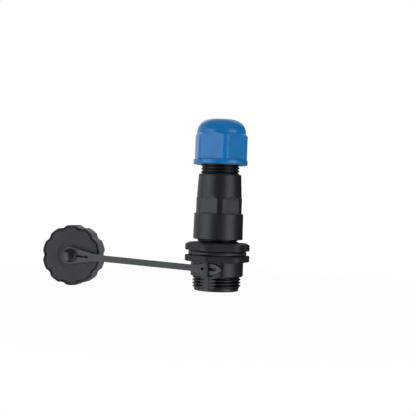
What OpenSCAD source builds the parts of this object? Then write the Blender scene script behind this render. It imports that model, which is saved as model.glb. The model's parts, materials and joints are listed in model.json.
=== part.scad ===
// Panel socket of a circular connector, with its back shell, cable gland and tethered screw cap.
// The connector's axis is Z, and z = 0 is the panel face of the hexagon flange.
// The gland is at the top, the mating face at the bottom, and the front is towards -Y.
// Threads are plain cylinders at their major diameter. All sizes are in millimetres.

/* [Mating side] */
// Major diameter of the mating thread
mating_thread_d = 15.3; // [14.8:0.1:16.2]
// Length of the mating thread
mating_thread_len = 3.8; // [3:0.1:5]
// Depth of the mating thread, which sets the plain lead in front of it
mating_thread_depth = 0.6; // [0.5:0.05:0.7]
// Length of the plain lead in front of the thread
lead_len = 0.8; // [0.5:0.1:1.4]
// Wall between the lead and the mating mouth
mouth_wall = 0.8; // [0.6:0.05:1]
// Depth of the mating mouth
mouth_depth = 9.5; // [9:0.1:10.2]
// Radial step from the thread to the plain collar behind it
collar_step = 0.65; // [0.5:0.05:0.9]
// Length of the plain collar
collar_len = 4.55; // [4.3:0.05:5.5]
// Depth of the moulded flat under the strap
flat_cut = 0.6; // [0.4:0.05:0.65]
// Width of the key rib in the mouth
key_w = 1.6; // [1.2:0.1:2.4]
// Height of the key rib in the mouth
key_h = 0.6; // [0.4:0.05:0.8]

/* [Panel side] */
// Major diameter of the panel thread
panel_thread_d = 13; // [12.6:0.1:13.6]
// Length of the panel thread above the flange
panel_thread_len = 11.2; // [10.8:0.1:12]
// Wall of the threaded neck
neck_wall = 1.3; // [1:0.05:1.5]
// Width of the hexagon flange across its flats
flange_af = 18.6; // [18.5:0.1:20]
// Thickness of the hexagon flange
flange_t = 2; // [1.5:0.1:3]
// Radial width of the panel gasket
gasket_w = 2.7; // [2:0.1:2.8]
// Thickness of the panel gasket
gasket_t = 1.4; // [1:0.1:2]
// Width of the panel nut across its flats
panel_nut_af = 18.6; // [17.6:0.1:20]
// Thickness of the panel nut
panel_nut_t = 2.5; // [2.2:0.05:3]
// Bare thread between the panel nut and the back shell
neck_gap = 1.05; // [0.8:0.05:1.6]

/* [Insert and contacts] */
// Depth of the insert's face below the rim of the mouth
insert_recess = 4.5; // [4.3:0.1:5.2]
// Diameter of the insert's tower in the mouth
tower_d = 9.4; // [9.2:0.1:9.6]
// Thickness of the web that the insert seats on
web_t = 2; // [1.4:0.1:2.4]
// Length of the insert behind the web
insert_tail = 7; // [6:0.1:7.6]
// Pitch circle of the outer contacts
contact_pcd = 6; // [5.6:0.1:6.2]
// Outside diameter of a contact
contact_d = 1.7; // [1.5:0.05:1.8]
// Diameter of the pin that a contact takes
contact_pin_d = 1; // [0.8:0.05:1.1]
// Length of the solder cups behind the insert
solder_cup_len = 3.2; // [2.4:0.1:3.6]
// Thickness of the flat seal at the bottom of the mouth
mating_seal_t = 0.8; // [0.5:0.05:1]

/* [Back shell] */
// Wall of the skirt at its mouth
skirt_wall = 1.3; // [1.2:0.02:1.5]
// Length of the skirt
skirt_len = 8.2; // [8:0.1:9]
// Radial step from the skirt to the gripping part
grip_step = 0.54; // [0.4:0.02:0.6]
// Width across a pair of spanner flats
grip_af = 13.1; // [12.9:0.1:13.4]
// Angle between the two pairs of spanner flats
flat_spread = 65; // [60:1:76]
// Length of the gripping part
grip_len = 5.45; // [5:0.05:7]
// Height of the arch at the upper end of each flat
arch_rise = 1.2; // [0.8:0.05:1.6]
// Diameter at the lower end of the taper
taper_low_d = 14.16; // [13.9:0.02:14.3]
// Diameter at the upper end of the taper
taper_top_d = 13.54; // [13.2:0.02:13.8]
// Length of the taper
taper_len = 6.95; // [6:0.05:8]
// Section diameter of the seal between the neck and the back shell
oring_d = 1.2; // [1:0.05:1.3]

/* [Cable gland] */
// Diameter of the cable that the gland takes
cable_d = 6; // [5:0.1:6.6]
// Major diameter of the gland thread
gland_thread_d = 12.2; // [11.9:0.1:12.6]
// Length of the gland thread
gland_thread_len = 8; // [7:0.1:8.6]
// Wall of the gland thread's sleeve
gland_wall = 1.35; // [1.1:0.05:1.5]
// Bare thread below the gland nut
gland_gap = 2.9; // [2.7:0.1:3.6]
// Tightening travel that is left in the gland nut
gland_travel = 2.5; // [1.5:0.1:2.6]
// Width of the gland nut across its flats
gland_nut_af = 15.5; // [15.2:0.1:16]
// Diameter of the gland nut's rim
gland_rim_d = 17.16; // [16.8:0.02:17.8]
// Diameter across the blunted corners of the gland nut
gland_corner_d = 17.44; // [17:0.02:17.7]
// Thickness of the gland nut's rim
gland_rim_t = 1.6; // [1.4:0.05:2.5]
// Height of the gland nut
gland_nut_h = 14.3; // [13.9:0.1:16]
// Diameter at the foot of the dome
dome_d = 15.4; // [15.1:0.1:15.5]
// Radius of the dome's rounding
dome_round = 4.1; // [3.4:0.1:4.2]
// Number of slots in the clamp ring
clamp_slots = 6; // [4:1:8]

/* [Cap] */
// Wall between the cap's thread and its scallops
cap_wall = 1.4; // [1.1:0.01:2]
// Number of scallops round the cap
scallop_count = 10; // [8:1:14]
// Depth of a scallop
scallop_depth = 0.5; // [0.3:0.05:0.7]
// Radius of a scallop
scallop_r = 2.2; // [1.6:0.1:2.8]
// Angle from the strap to the nearest scallop
cap_turn = 5; // [0:1:18]
// Height of the cap
cap_h = 5.8; // [4:0.1:6.4]
// Thickness of the cap's top plate
cap_plate = 1.1; // [0.9:0.05:1.5]
// Diameter of the shallow recess round the stud
cap_recess_d = 8.7; // [7:0.1:10]
// Diameter of the stud's neck
stud_neck_d = 3.5; // [3.2:0.1:3.8]
// Diameter of the stud's round head
stud_head_d = 4.4; // [4.1:0.1:4.7]
// Height of the stud's round head
stud_head_h = 1.2; // [0.9:0.05:1.5]
// Height of the upright side of the stud's head
stud_side_h = 0.5; // [0.3:0.05:0.8]
// Thickness of the flat seal in the cap
cap_seal_t = 0.7; // [0.5:0.05:0.9]

/* [Strap and loop] */
// Angle of the loop from the front, towards the left
loop_turn = 23.2; // [20:0.1:28]
// Width of the loop's bar
bar_w = 1.55; // [1.3:0.05:2]
// Thickness of the loop's bar
bar_t = 0.8; // [0.6:0.05:1]
// Angle of the strap from the front plane, towards the back
strap_turn = 10; // [8:0.5:20]
// Rise of the strap towards the cap, in degrees
strap_lean = 3; // [0:0.1:4]
// Distance from the strap's bend beside the loop to the stud
strap_len = 42.4; // [36:0.1:56]
// Width of the strap
strap_w = 1.95; // [1.6:0.05:2.3]
// Thickness of the strap
strap_t = 1.1; // [0.9:0.05:1.3]
// Height of the strap's neck in the loop
neck_h = 2.9; // [2.6:0.05:3]
// Height of the strap's head beside the loop
head_h = 3.8; // [3.4:0.05:3.95]
// Length of the strap's head
head_len = 4.2; // [2.8:0.1:5]
// Height of the barb
barb_h = 3.6; // [3.4:0.05:3.85]
// Length of the barb
barb_len = 3.8; // [3.4:0.1:4.6]
// Width of the eye's rim round the stud
eye_rim = 0.9; // [0.7:0.05:1.2]
// Length of the eye's tail
eye_tail = 7.3; // [6:0.1:9]
// Width of the strap at the eye's tail
eye_tail_w = 2.5; // [2.35:0.05:2.9]

/* [Hidden] */
$fn = 96;

// Clearances: seated pieces, turning pieces, sliding faces, the strap in its loop
seat_gap = 0.04;
turn_gap = 0.06;
face_gap = 0.05;
strap_gap = 0.08;
// Overshoot of a cutting tool, and how far a joined solid reaches into its neighbour
over = 1;
bite = 0.3;
// Small edge breaks
edge = 0.2;
thread_edge = 0.3;

// Colours
black = "#2c2d30";
dark_rubber = "#1f2022";
blue = "#2f6fae";
insulator = "#3a3b3e";
gold = "#c9a24b";

// Heights below the flange
collar_z = -flange_t - collar_len;
thread_z = collar_z - mating_thread_len;
rim_z = thread_z - lead_len;
web_z = rim_z + mouth_depth;
tower_z = rim_z + insert_recess;
// Heights above the flange
web_top_z = web_z + web_t;
insert_top_z = web_top_z + insert_tail;
panel_nut_z = gasket_t + face_gap;
skirt_z = panel_nut_z + panel_nut_t + neck_gap;
oring_top_z = panel_thread_len + oring_d + 2 * seat_gap;
ledge_z = skirt_z + skirt_len;
grip_top_z = ledge_z + grip_len;
shoulder_z = grip_top_z + taper_len;
gland_end_z = shoulder_z + gland_thread_len;
gland_nut_z = shoulder_z + gland_gap;
gland_rim_top_z = gland_nut_z + gland_rim_t;
gland_top_z = gland_nut_z + gland_nut_h;
dome_z = gland_top_z - dome_round;

// Radii of the shell
thread_r = mating_thread_d / 2;
lead_r = thread_r - mating_thread_depth;
mouth_r = lead_r - mouth_wall;
collar_r = thread_r + collar_step;
collar_land = 0.1;
flat_r = thread_r - flat_cut;
panel_r = panel_thread_d / 2;
neck_bore_r = panel_r - neck_wall;
tower_r = tower_d / 2;
flange_corner_r = flange_af / 2 / cos(30);
corner_blunt = 0.38;

// Radii of the back shell
skirt_bore_r = panel_r + seat_gap;
skirt_r = skirt_bore_r + skirt_wall;
skirt_draft = 0.07;
grip_r = skirt_r - skirt_draft - grip_step;
grip_turn = 1.8;
grip_band = 0.9;
taper_chamfer = 0.45;
gland_r = gland_thread_d / 2;
pocket_r = gland_r - gland_wall;
cable_r = cable_d / 2;
passage_gap = 0.6;
passage_r = cable_r + passage_gap;
pocket_lip = 2;
pocket_rise = 1.4;
pocket_z = shoulder_z + pocket_rise;

// Gland nut inside: the clamp ring snaps over a lip and lies under a cone
gland_turn = 9;
gland_bore_r = gland_r + turn_gap;
lip_h = 0.6;
lip_z = gland_end_z + gland_travel + face_gap * 2;
groove_h = 1.2;
groove_z = lip_z + lip_h;
cone_z = groove_z + groove_h;
cone_step = 0.3;
cone_r = gland_r - cone_step;
lip_step = 0.35;
lip_r = cone_r - lip_step;
hole_gap = 0.4;
hole_r = cable_r + hole_gap;
hole_land = 1.1;
cone_top_z = gland_top_z - hole_land;
cone_slope = (cone_r - hole_r) / (cone_top_z - cone_z);
dome_flare = 2;
rim_fillet = 0.5;

// Clamp ring
clamp_gap = 0.15;
clamp_z = groove_z + clamp_gap;
clamp_bore_gap = 0.3;
clamp_bore_r = cable_r + clamp_bore_gap;
clamp_drop = 1.2;
clamp_top_z = cone_top_z - clamp_drop;
clamp_slot_w = 0.7;
seal_top_z = clamp_z - gland_travel - face_gap;

// Contacts and insert
contact_r = contact_d / 2;
contact_hole_r = contact_r + seat_gap;
contact_collar_step = 0.25;
contact_collar_r = contact_r + contact_collar_step;
contact_collar_h = 1;
contact_floor = 0.6;
contact_step_z = web_top_z + contact_floor;
entry_skin = 0.6;
contact_z = tower_z + entry_skin + face_gap;
contact_top_z = insert_top_z + solder_cup_len;
contact_bore_depth = 5;
contact_slot_w = 0.3;
cup_depth = 2.2;
cup_wall = 0.25;
insert_ring_h = 1;
insert_ring_w = 1;

// Strap: its tongue lies on the flat in the loop, and its band leaves at an angle beside the loop
strap_skew = loop_turn - strap_turn;
strap_rise = 0.23;
strap_z = -flange_t - collar_len / 2 + strap_rise;
barb_x = bar_w / 2 + strap_gap;
strap_y = flat_r + strap_gap + strap_t / 2;
bar_in_y = strap_y + strap_t / 2 + strap_gap;
bar_out_y = bar_in_y + bar_t;
slot_h = neck_h + 2 * strap_gap;
bend_len = 1.3;
bend_x = -barb_x - bend_len;
bend_h = head_h - (head_h - strap_w) * bend_len / head_len;
bend_lap = 0.2;
barb_tip_h = 0.5;
slit_end = 2.45;
slit_end_r = 0.5;
slit_start_r = 0.4;
slit_start = 0.68;
eye_hole_r = stud_neck_d / 2 + turn_gap;
eye_r = eye_hole_r + eye_rim;
eye_slit_w = 0.35;
eye_slit_end_r = 0.5;
eye_slit_len = 5.45;
eye_neck_len = 4.5;

// Cap
cap_bore_r = thread_r + turn_gap;
cap_r = cap_bore_r + cap_wall + scallop_depth;
cap_edge = 0.3;
cap_recess_depth = 0.2;
cap_face_y = strap_t / 2 + 2 * face_gap;
cap_seal_z = -cap_plate - cap_seal_t;
cap_undercut = 0.2;
cap_seat_r = cap_bore_r + cap_undercut;
stud_neck_h = strap_t + 4 * face_gap;

// Straight hexagon with a corner at the +X axis
module hexagon(af, h) {
    cylinder(d = af / cos(30), h = h, $fn = 6);
}

// Flat ring standing on its lower face
module ring(outer_r, inner_r, h) {
    difference() {
        cylinder(r = outer_r, h = h);
        translate([0, 0, -over]) cylinder(r = inner_r, h = h + 2 * over);
    }
}

// Ring with broken outer edges
module soft_ring(outer_r, inner_r, h, chamfer) {
    rotate_extrude() polygon([
        [inner_r, 0], [outer_r - chamfer, 0], [outer_r, chamfer],
        [outer_r, h - chamfer], [outer_r - chamfer, h], [inner_r, h]
    ]);
}

// Frame whose -Y points out through the strap loop
module loop_frame() {
    rotate([0, 0, -loop_turn]) children();
}

// Frame of the strap's tongue: +X to the barb, -Y out of the strap's face, origin under the bar
module tongue_frame() {
    loop_frame() translate([0, -strap_y, strap_z]) children();
}

// Frame of the strap's band: -X to the cap, -Y out of the strap's face, origin at the bend
module strap_frame() {
    tongue_frame() translate([bend_x, 0, 0]) rotate([0, 0, strap_skew]) rotate([0, strap_lean, 0])
        children();
}

// Frame of the cap: +Z out of its face, origin at the middle of the face
module cap_frame() {
    strap_frame() translate([-strap_len, cap_face_y, 0]) rotate([90, 0, 0]) children();
}

// Outside of the shell, turned about the axis
module shell_turning() {
    rotate_extrude() polygon([
        [0, rim_z], [lead_r - edge, rim_z], [lead_r, rim_z + edge], [lead_r, thread_z],
        [thread_r - thread_edge, thread_z], [thread_r, thread_z + thread_edge], [thread_r, collar_z],
        [thread_r + collar_land, collar_z], [collar_r, collar_z + collar_step - collar_land],
        [collar_r, -flange_t + bite], [panel_r, -flange_t + bite], [panel_r, panel_thread_len - thread_edge],
        [panel_r - thread_edge, panel_thread_len], [0, panel_thread_len]
    ]);
}

// Hexagon flange with blunted corners, one of them above the loop
module flange() {
    rotate([0, 0, -90 - loop_turn]) translate([0, 0, -flange_t]) intersection() {
        hexagon(flange_af, flange_t);
        soft_ring(flange_corner_r - corner_blunt, 0, flange_t, edge);
    }
}

// Mouth, insert bore and neck bore of the shell
module shell_bores() {
    translate([0, 0, rim_z - over]) cylinder(r = mouth_r, h = mouth_depth + over);
    translate([0, 0, rim_z - edge]) cylinder(r1 = mouth_r + 2 * edge, r2 = mouth_r, h = 2 * edge);
    translate([0, 0, web_z - over]) cylinder(r = tower_r + seat_gap, h = web_t + 2 * over);
    translate([0, 0, web_top_z]) cylinder(r = neck_bore_r, h = panel_thread_len - web_top_z + over);
}

// Flat along the thread and the collar, which the strap's tongue lies on
module shell_flat() {
    span = 2 * (collar_r + over);
    loop_frame() translate([-span / 2, -flat_r - span, rim_z - over])
        cube([span, span, -flange_t - rim_z + over]);
}

// Loop that the strap's barb is pushed through
module strap_loop() {
    root_y = flat_r - bite;
    loop_frame() difference() {
        translate([0, 0, collar_z]) linear_extrude(collar_len + bite) polygon([
            [-bar_w / 2, -root_y], [-bar_w / 2, edge - bar_out_y], [edge - bar_w / 2, -bar_out_y],
            [bar_w / 2 - edge, -bar_out_y], [bar_w / 2, edge - bar_out_y], [bar_w / 2, -root_y]
        ]);
        translate([-bar_w, -bar_in_y, strap_z - slot_h / 2])
            cube([2 * bar_w, bar_in_y - flat_r, slot_h]);
    }
}

// Key rib in the mouth, opposite the loop
module key_rib() {
    foot_z = rim_z + insert_recess / 2;
    loop_frame() translate([-key_w / 2, mouth_r - key_h, foot_z])
        cube([key_w, key_h + mouth_wall / 2, web_z - mating_seal_t - face_gap - foot_z]);
}

module socket_shell() {
    color(black) union() {
        difference() {
            union() {
                shell_turning();
                flange();
            }
            shell_flat();
            shell_bores();
        }
        strap_loop();
        key_rib();
    }
}

module mating_seal() {
    color(dark_rubber) translate([0, 0, web_z - mating_seal_t])
        ring(mouth_r - seat_gap, tower_r + seat_gap, mating_seal_t);
}

// Places of the contacts: one in the middle and six round it
function contact_place(k) = k == 1 ? [0, 0, 0]
    : [contact_pcd / 2 * cos(60 * k), contact_pcd / 2 * sin(60 * k), 0];

// Hole of one contact through the insert
module contact_hole() {
    translate([0, 0, tower_z - over]) cylinder(d = contact_pin_d + 4 * seat_gap, h = entry_skin + 2 * over);
    translate([0, 0, tower_z + entry_skin]) cylinder(r = contact_hole_r, h = insert_top_z - tower_z);
    translate([0, 0, contact_step_z])
        cylinder(r = contact_collar_r + seat_gap, h = insert_top_z - contact_step_z + over);
}

module contact_insert() {
    tail_r = neck_bore_r - seat_gap;
    color(insulator) difference() {
        rotate_extrude() polygon([
            [0, tower_z], [tower_r - edge, tower_z], [tower_r, tower_z + edge], [tower_r, web_top_z],
            [tail_r, web_top_z], [tail_r, insert_top_z], [0, insert_top_z]
        ]);
        for (k = [1:7]) translate(contact_place(k)) contact_hole();
    }
}

// Ring with two spanner notches that keeps the insert in the neck
module insert_ring() {
    outer_r = neck_bore_r - seat_gap;
    color(insulator) translate([0, 0, insert_top_z]) difference() {
        ring(outer_r, outer_r - insert_ring_w, insert_ring_h);
        translate([-outer_r - over, -insert_ring_w / 2, insert_ring_h / 2])
            cube([2 * (outer_r + over), insert_ring_w, insert_ring_h]);
    }
}

// Socket contact: slotted sleeve, collar and solder cup
module contact(k) {
    cup_r = contact_r - cup_wall;
    color(gold) translate(contact_place(k)) difference() {
        rotate_extrude() polygon([
            [0, contact_z], [contact_r, contact_z], [contact_r, contact_step_z],
            [contact_collar_r, contact_step_z], [contact_collar_r, contact_step_z + contact_collar_h],
            [contact_r, contact_step_z + contact_collar_h], [contact_r, contact_top_z], [0, contact_top_z]
        ]);
        translate([0, 0, contact_z - over]) cylinder(d = contact_pin_d, h = contact_bore_depth + over);
        translate([-contact_slot_w / 2, -contact_d, contact_z - over])
            cube([contact_slot_w, 2 * contact_d, contact_bore_depth]);
        translate([0, 0, contact_top_z - cup_depth]) cylinder(r = cup_r, h = cup_depth + over);
        translate([0, -contact_d, contact_top_z - cup_depth / 2])
            cube([contact_d, 2 * contact_d, cup_depth + over]);
    }
}

module panel_gasket() {
    inner_r = panel_r + seat_gap;
    color(dark_rubber) soft_ring(inner_r + gasket_w, inner_r, gasket_t, edge);
}

// Hexagon nut, chamfered on its upper side
module panel_nut() {
    corner_r = panel_nut_af / 2 / cos(30);
    face_r = panel_nut_af / 2 - edge;
    chamfer_h = (corner_r - face_r) * tan(30);
    color(black) translate([0, 0, panel_nut_z]) difference() {
        intersection() {
            rotate([0, 0, -90 - loop_turn]) hexagon(panel_nut_af, panel_nut_t);
            rotate_extrude() polygon([
                [0, 0], [corner_r - corner_blunt, 0], [corner_r - corner_blunt, panel_nut_t - chamfer_h],
                [face_r, panel_nut_t], [0, panel_nut_t]
            ]);
        }
        translate([0, 0, -over]) cylinder(r = panel_r + turn_gap, h = panel_nut_t + 2 * over);
    }
}

// Core between a pair of spanner flats, which lean outwards at the top and so end in arches
module flat_pair(turn) {
    span = 2 * (skirt_r + over);
    half = grip_af / 2;
    lean = (taper_low_d / 2 - half) / arch_rise;
    foot_z = ledge_z - over;
    top_z = grip_top_z + over;
    top_half = half + lean * (arch_rise + over);
    rotate([0, 0, turn + 90]) rotate([90, 0, 0]) linear_extrude(span, center = true) polygon([
        [-half, foot_z], [half, foot_z], [half, grip_top_z - arch_rise], [top_half, top_z],
        [-top_half, top_z], [-half, grip_top_z - arch_rise]
    ]);
}

// Material that the four spanner flats take away
module spanner_flats() {
    difference() {
        translate([0, 0, ledge_z]) ring(skirt_r + over, grip_af / 2 - bite, grip_len + bite);
        intersection() {
            flat_pair(grip_turn - flat_spread / 2);
            flat_pair(grip_turn + flat_spread / 2);
        }
    }
}

// Bore of the back shell: thread, seal seat, wire room, cable passage and seal pocket
module back_shell_bore() {
    rotate_extrude() polygon([
        [0, skirt_z - over], [skirt_bore_r, skirt_z - over], [skirt_bore_r, oring_top_z],
        [neck_bore_r, oring_top_z], [neck_bore_r, pocket_z - pocket_lip - neck_bore_r + passage_r],
        [passage_r, pocket_z - pocket_lip], [passage_r, pocket_z], [pocket_r, pocket_z],
        [pocket_r, gland_end_z + over], [0, gland_end_z + over]
    ]);
}

module back_shell() {
    band_z = grip_top_z - arch_rise;
    color(black) difference() {
        rotate_extrude() polygon([
            [0, skirt_z], [skirt_r - edge, skirt_z], [skirt_r, skirt_z + edge],
            [skirt_r - skirt_draft, ledge_z], [grip_r, ledge_z], [grip_r, band_z + grip_band / 2],
            [taper_low_d / 2, band_z + grip_band], [taper_top_d / 2, shoulder_z - taper_chamfer],
            [gland_r + edge, shoulder_z], [gland_r, shoulder_z], [gland_r, gland_end_z - thread_edge],
            [gland_r - thread_edge, gland_end_z], [0, gland_end_z]
        ]);
        spanner_flats();
        back_shell_bore();
    }
}

// Round seal between the end of the neck and the step in the back shell
module back_shell_oring() {
    color(dark_rubber) translate([0, 0, panel_thread_len + oring_d / 2 + seat_gap]) rotate_extrude()
        translate([panel_r - oring_d / 2 - seat_gap, 0]) circle(d = oring_d);
}

// Rubber bush round the cable, tapered where the clamp ring presses on it
module cable_seal() {
    outer_r = pocket_r - seat_gap;
    color(dark_rubber) rotate_extrude() polygon([
        [cable_r, pocket_z], [outer_r, pocket_z], [outer_r, gland_end_z],
        [outer_r - 2 * edge, seal_top_z], [cable_r, seal_top_z]
    ]);
}

// Slotted cone ring that closes on the cable when the gland nut is screwed down
module clamp_ring() {
    base_r = cone_r - clamp_gap;
    top_r = base_r - cone_slope * (clamp_top_z - cone_z);
    color(insulator) difference() {
        rotate_extrude() polygon([
            [clamp_bore_r, clamp_z], [base_r, clamp_z], [base_r, cone_z], [top_r, clamp_top_z],
            [clamp_bore_r, clamp_top_z]
        ]);
        for (k = [0:clamp_slots - 1]) rotate([0, 0, 360 / clamp_slots * k])
            translate([0, -clamp_slot_w / 2, cone_z]) cube([gland_r, clamp_slot_w, clamp_top_z]);
    }
}

// Envelope of the gland nut: rim, hexagon zone, flare and dome
module gland_envelope() {
    rim_r = gland_rim_d / 2;
    corner_r = gland_corner_d / 2;
    foot_r = dome_d / 2;
    crown_r = foot_r - dome_round;
    rotate_extrude() {
        polygon([
            [0, gland_nut_z], [rim_r - rim_fillet, gland_nut_z], [rim_r, gland_nut_z + rim_fillet],
            [rim_r, gland_rim_top_z], [corner_r, gland_rim_top_z],
            [corner_r, dome_z - dome_flare * (corner_r - foot_r)], [foot_r, dome_z], [0, dome_z]
        ]);
        translate([0, dome_z]) square([crown_r, dome_round]);
        translate([crown_r, dome_z]) intersection() {
            circle(dome_round);
            square(dome_round);
        }
    }
}

// Space in the gland nut: thread, lip, groove for the clamp ring, cone and cable hole
module gland_space() {
    rotate_extrude() polygon([
        [0, gland_nut_z - over], [gland_bore_r, gland_nut_z - over], [gland_bore_r, lip_z], [lip_r, lip_z],
        [lip_r, groove_z], [cone_r, groove_z], [cone_r, cone_z], [hole_r, cone_top_z],
        [hole_r, gland_top_z + over], [0, gland_top_z + over]
    ]);
}

module gland_nut() {
    color(blue) difference() {
        intersection() {
            gland_envelope();
            union() {
                translate([0, 0, gland_nut_z]) soft_ring(gland_rim_d / 2, 0, gland_rim_t, rim_fillet);
                rotate([0, 0, gland_turn - 90]) translate([0, 0, gland_rim_top_z - bite])
                    hexagon(gland_nut_af, gland_nut_h - gland_rim_t + bite);
            }
        }
        gland_space();
    }
}

// Stud that the strap's eye snaps over: neck and round head
module cap_stud() {
    head_r = stud_head_d / 2;
    dome_h = stud_head_h - stud_side_h;
    ball_r = (head_r * head_r + dome_h * dome_h) / (2 * dome_h);
    translate([0, 0, -cap_plate / 2]) cylinder(d = stud_neck_d, h = cap_plate / 2 + stud_neck_h + bite);
    translate([0, 0, stud_neck_h]) intersection() {
        cylinder(r = head_r, h = stud_head_h);
        translate([0, 0, stud_head_h - ball_r]) sphere(r = ball_r);
    }
}

// Screw cap: a cup with a scalloped wall and a shallow recess round the stud
module cap() {
    color(black) cap_frame() {
        difference() {
            rotate_extrude() polygon([
                [0, 0], [cap_r - cap_edge, 0], [cap_r, -cap_edge], [cap_r, cap_edge - cap_h],
                [cap_r - cap_edge, -cap_h], [cap_bore_r + edge, -cap_h], [cap_bore_r, edge - cap_h],
                [cap_bore_r, cap_seal_z], [cap_seat_r, cap_seal_z], [cap_seat_r, -cap_plate], [0, -cap_plate]
            ]);
            for (k = [0:scallop_count - 1]) rotate([0, 0, cap_turn + 360 / scallop_count * k])
                translate([cap_r - scallop_depth + scallop_r, 0, -cap_h - over])
                    cylinder(r = scallop_r, h = cap_h + 2 * over);
            translate([0, 0, -cap_recess_depth])
                cylinder(d1 = cap_recess_d, d2 = cap_recess_d + 2 * cap_recess_depth, h = cap_recess_depth);
        }
        cap_stud();
    }
}

// Flat seal that meets the rim of the mouth, held in an undercut behind the cap's thread
module cap_seal() {
    color(dark_rubber) cap_frame() translate([0, 0, cap_seal_z])
        ring(cap_seat_r - seat_gap, mouth_r - edge, cap_seal_t);
}

// Outline of the barb: two arcs that close to a blunt tip
module barb_outline() {
    rise = (barb_h - barb_tip_h) / 2;
    arc_r = (barb_len * barb_len + rise * rise) / (2 * rise);
    translate([barb_x, 0]) intersection() {
        translate([0, barb_h / 2 - arc_r]) circle(arc_r);
        translate([0, arc_r - barb_h / 2]) circle(arc_r);
        translate([0, -barb_h / 2]) square([barb_len, barb_h]);
    }
}

// Slit of the barb, wider at the barb's end, so that it can be squeezed through the loop
module barb_slit() {
    start_x = -barb_x - slit_start;
    polygon([
        [start_x, -slit_start_r], [slit_end, -slit_end_r], [slit_end, slit_end_r], [start_x, slit_start_r]
    ]);
    translate([start_x, 0]) circle(slit_start_r);
    translate([slit_end, 0]) circle(slit_end_r);
}

// Outline of the tongue: barb, neck in the loop, and the head up to the bend
module tongue_outline() {
    difference() {
        union() {
            barb_outline();
            translate([-barb_x, -neck_h / 2]) square([2 * barb_x, neck_h]);
            polygon([
                [-barb_x, -head_h / 2], [-barb_x, head_h / 2],
                [bend_x - bend_lap, bend_h / 2], [bend_x - bend_lap, -bend_h / 2]
            ]);
        }
        barb_slit();
    }
}

// Outline of the band: the rest of the head, the strap and the split eye
module band_outline() {
    head_x = bend_len - head_len;
    tail_x = eye_tail - strap_len;
    difference() {
        union() {
            polygon([
                [bend_lap, -bend_h / 2], [bend_lap, bend_h / 2],
                [head_x, strap_w / 2], [head_x, -strap_w / 2]
            ]);
            translate([tail_x, -strap_w / 2]) square([head_x - tail_x, strap_w]);
            polygon([
                [tail_x + eye_neck_len, -strap_w / 2], [tail_x + eye_neck_len, strap_w / 2],
                [tail_x, eye_tail_w / 2], [-strap_len, eye_r],
                [-strap_len, -eye_r], [tail_x, -eye_tail_w / 2]
            ]);
            translate([-strap_len, 0]) circle(eye_r);
        }
        translate([-strap_len, 0]) circle(eye_hole_r);
        translate([-strap_len, -eye_slit_w / 2]) square([eye_slit_len, eye_slit_w]);
        translate([eye_slit_len - strap_len, 0]) circle(eye_slit_end_r);
    }
}

module tether_strap() {
    color(black) {
        tongue_frame() rotate([90, 0, 0]) linear_extrude(strap_t, center = true) tongue_outline();
        strap_frame() rotate([90, 0, 0]) linear_extrude(strap_t, center = true) band_outline();
    }
}

socket_shell();
mating_seal();
contact_insert();
insert_ring();
contact(1);  // contact_1
contact(2);  // contact_2
contact(3);  // contact_3
contact(4);  // contact_4
contact(5);  // contact_5
contact(6);  // contact_6
contact(7);  // contact_7
panel_gasket();
panel_nut();
back_shell();
back_shell_oring();
cable_seal();
clamp_ring();
gland_nut();
cap();
cap_seal();
tether_strap();
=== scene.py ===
"""Dresses the panel socket of a circular connector for a plain white studio.

The connector's axis is Z, with the cable gland at the top and the mating thread at the bottom.
Named lengths are in millimetres and named angles in degrees. They become metres and radians where they are
used.
"""
import bmesh
import bpy
import json
import numpy as np
from math import ceil, cos, radians, sin, sqrt, tan
from mathutils import Matrix, Vector


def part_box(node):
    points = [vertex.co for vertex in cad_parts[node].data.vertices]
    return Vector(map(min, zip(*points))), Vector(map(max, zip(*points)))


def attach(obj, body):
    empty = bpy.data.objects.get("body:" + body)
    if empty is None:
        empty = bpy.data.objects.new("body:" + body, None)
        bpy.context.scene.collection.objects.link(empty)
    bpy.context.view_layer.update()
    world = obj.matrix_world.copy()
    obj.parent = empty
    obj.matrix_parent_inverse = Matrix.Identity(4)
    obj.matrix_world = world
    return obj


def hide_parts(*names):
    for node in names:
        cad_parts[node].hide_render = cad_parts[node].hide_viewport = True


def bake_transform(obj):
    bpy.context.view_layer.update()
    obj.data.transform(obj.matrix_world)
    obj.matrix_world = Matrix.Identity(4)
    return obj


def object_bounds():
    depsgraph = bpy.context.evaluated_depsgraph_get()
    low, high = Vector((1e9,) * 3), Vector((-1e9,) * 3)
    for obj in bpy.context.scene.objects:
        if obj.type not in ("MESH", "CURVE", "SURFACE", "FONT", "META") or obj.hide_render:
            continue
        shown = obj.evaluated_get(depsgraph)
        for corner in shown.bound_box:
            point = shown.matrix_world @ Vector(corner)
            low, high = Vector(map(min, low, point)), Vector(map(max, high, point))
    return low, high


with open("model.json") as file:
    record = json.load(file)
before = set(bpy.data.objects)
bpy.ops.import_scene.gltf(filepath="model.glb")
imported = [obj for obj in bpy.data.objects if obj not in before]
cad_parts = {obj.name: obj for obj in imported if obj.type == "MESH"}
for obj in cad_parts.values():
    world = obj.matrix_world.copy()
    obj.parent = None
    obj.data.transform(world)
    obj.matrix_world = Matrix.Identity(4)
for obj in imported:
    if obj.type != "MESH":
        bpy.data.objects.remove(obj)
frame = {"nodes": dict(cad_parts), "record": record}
cad_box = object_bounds()
MM = 0.001
JOINTS = {joint["name"]: joint for joint in frame["record"]["behaviour"]["joints"]}


def reach(node, axis, side):
    """One side of a node's box in millimetres: axis 0 to 2, side 0 for the lowest and 1 for the highest."""
    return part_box(node)[side][axis] / MM


# In the names below, R is a radius, T a thickness, W a width, H a height and Z a place along the axis.
# SOFT, EASE, DROP, INSET and SAG place the rings that round an edge, and STEPS counts rings or points.

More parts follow.
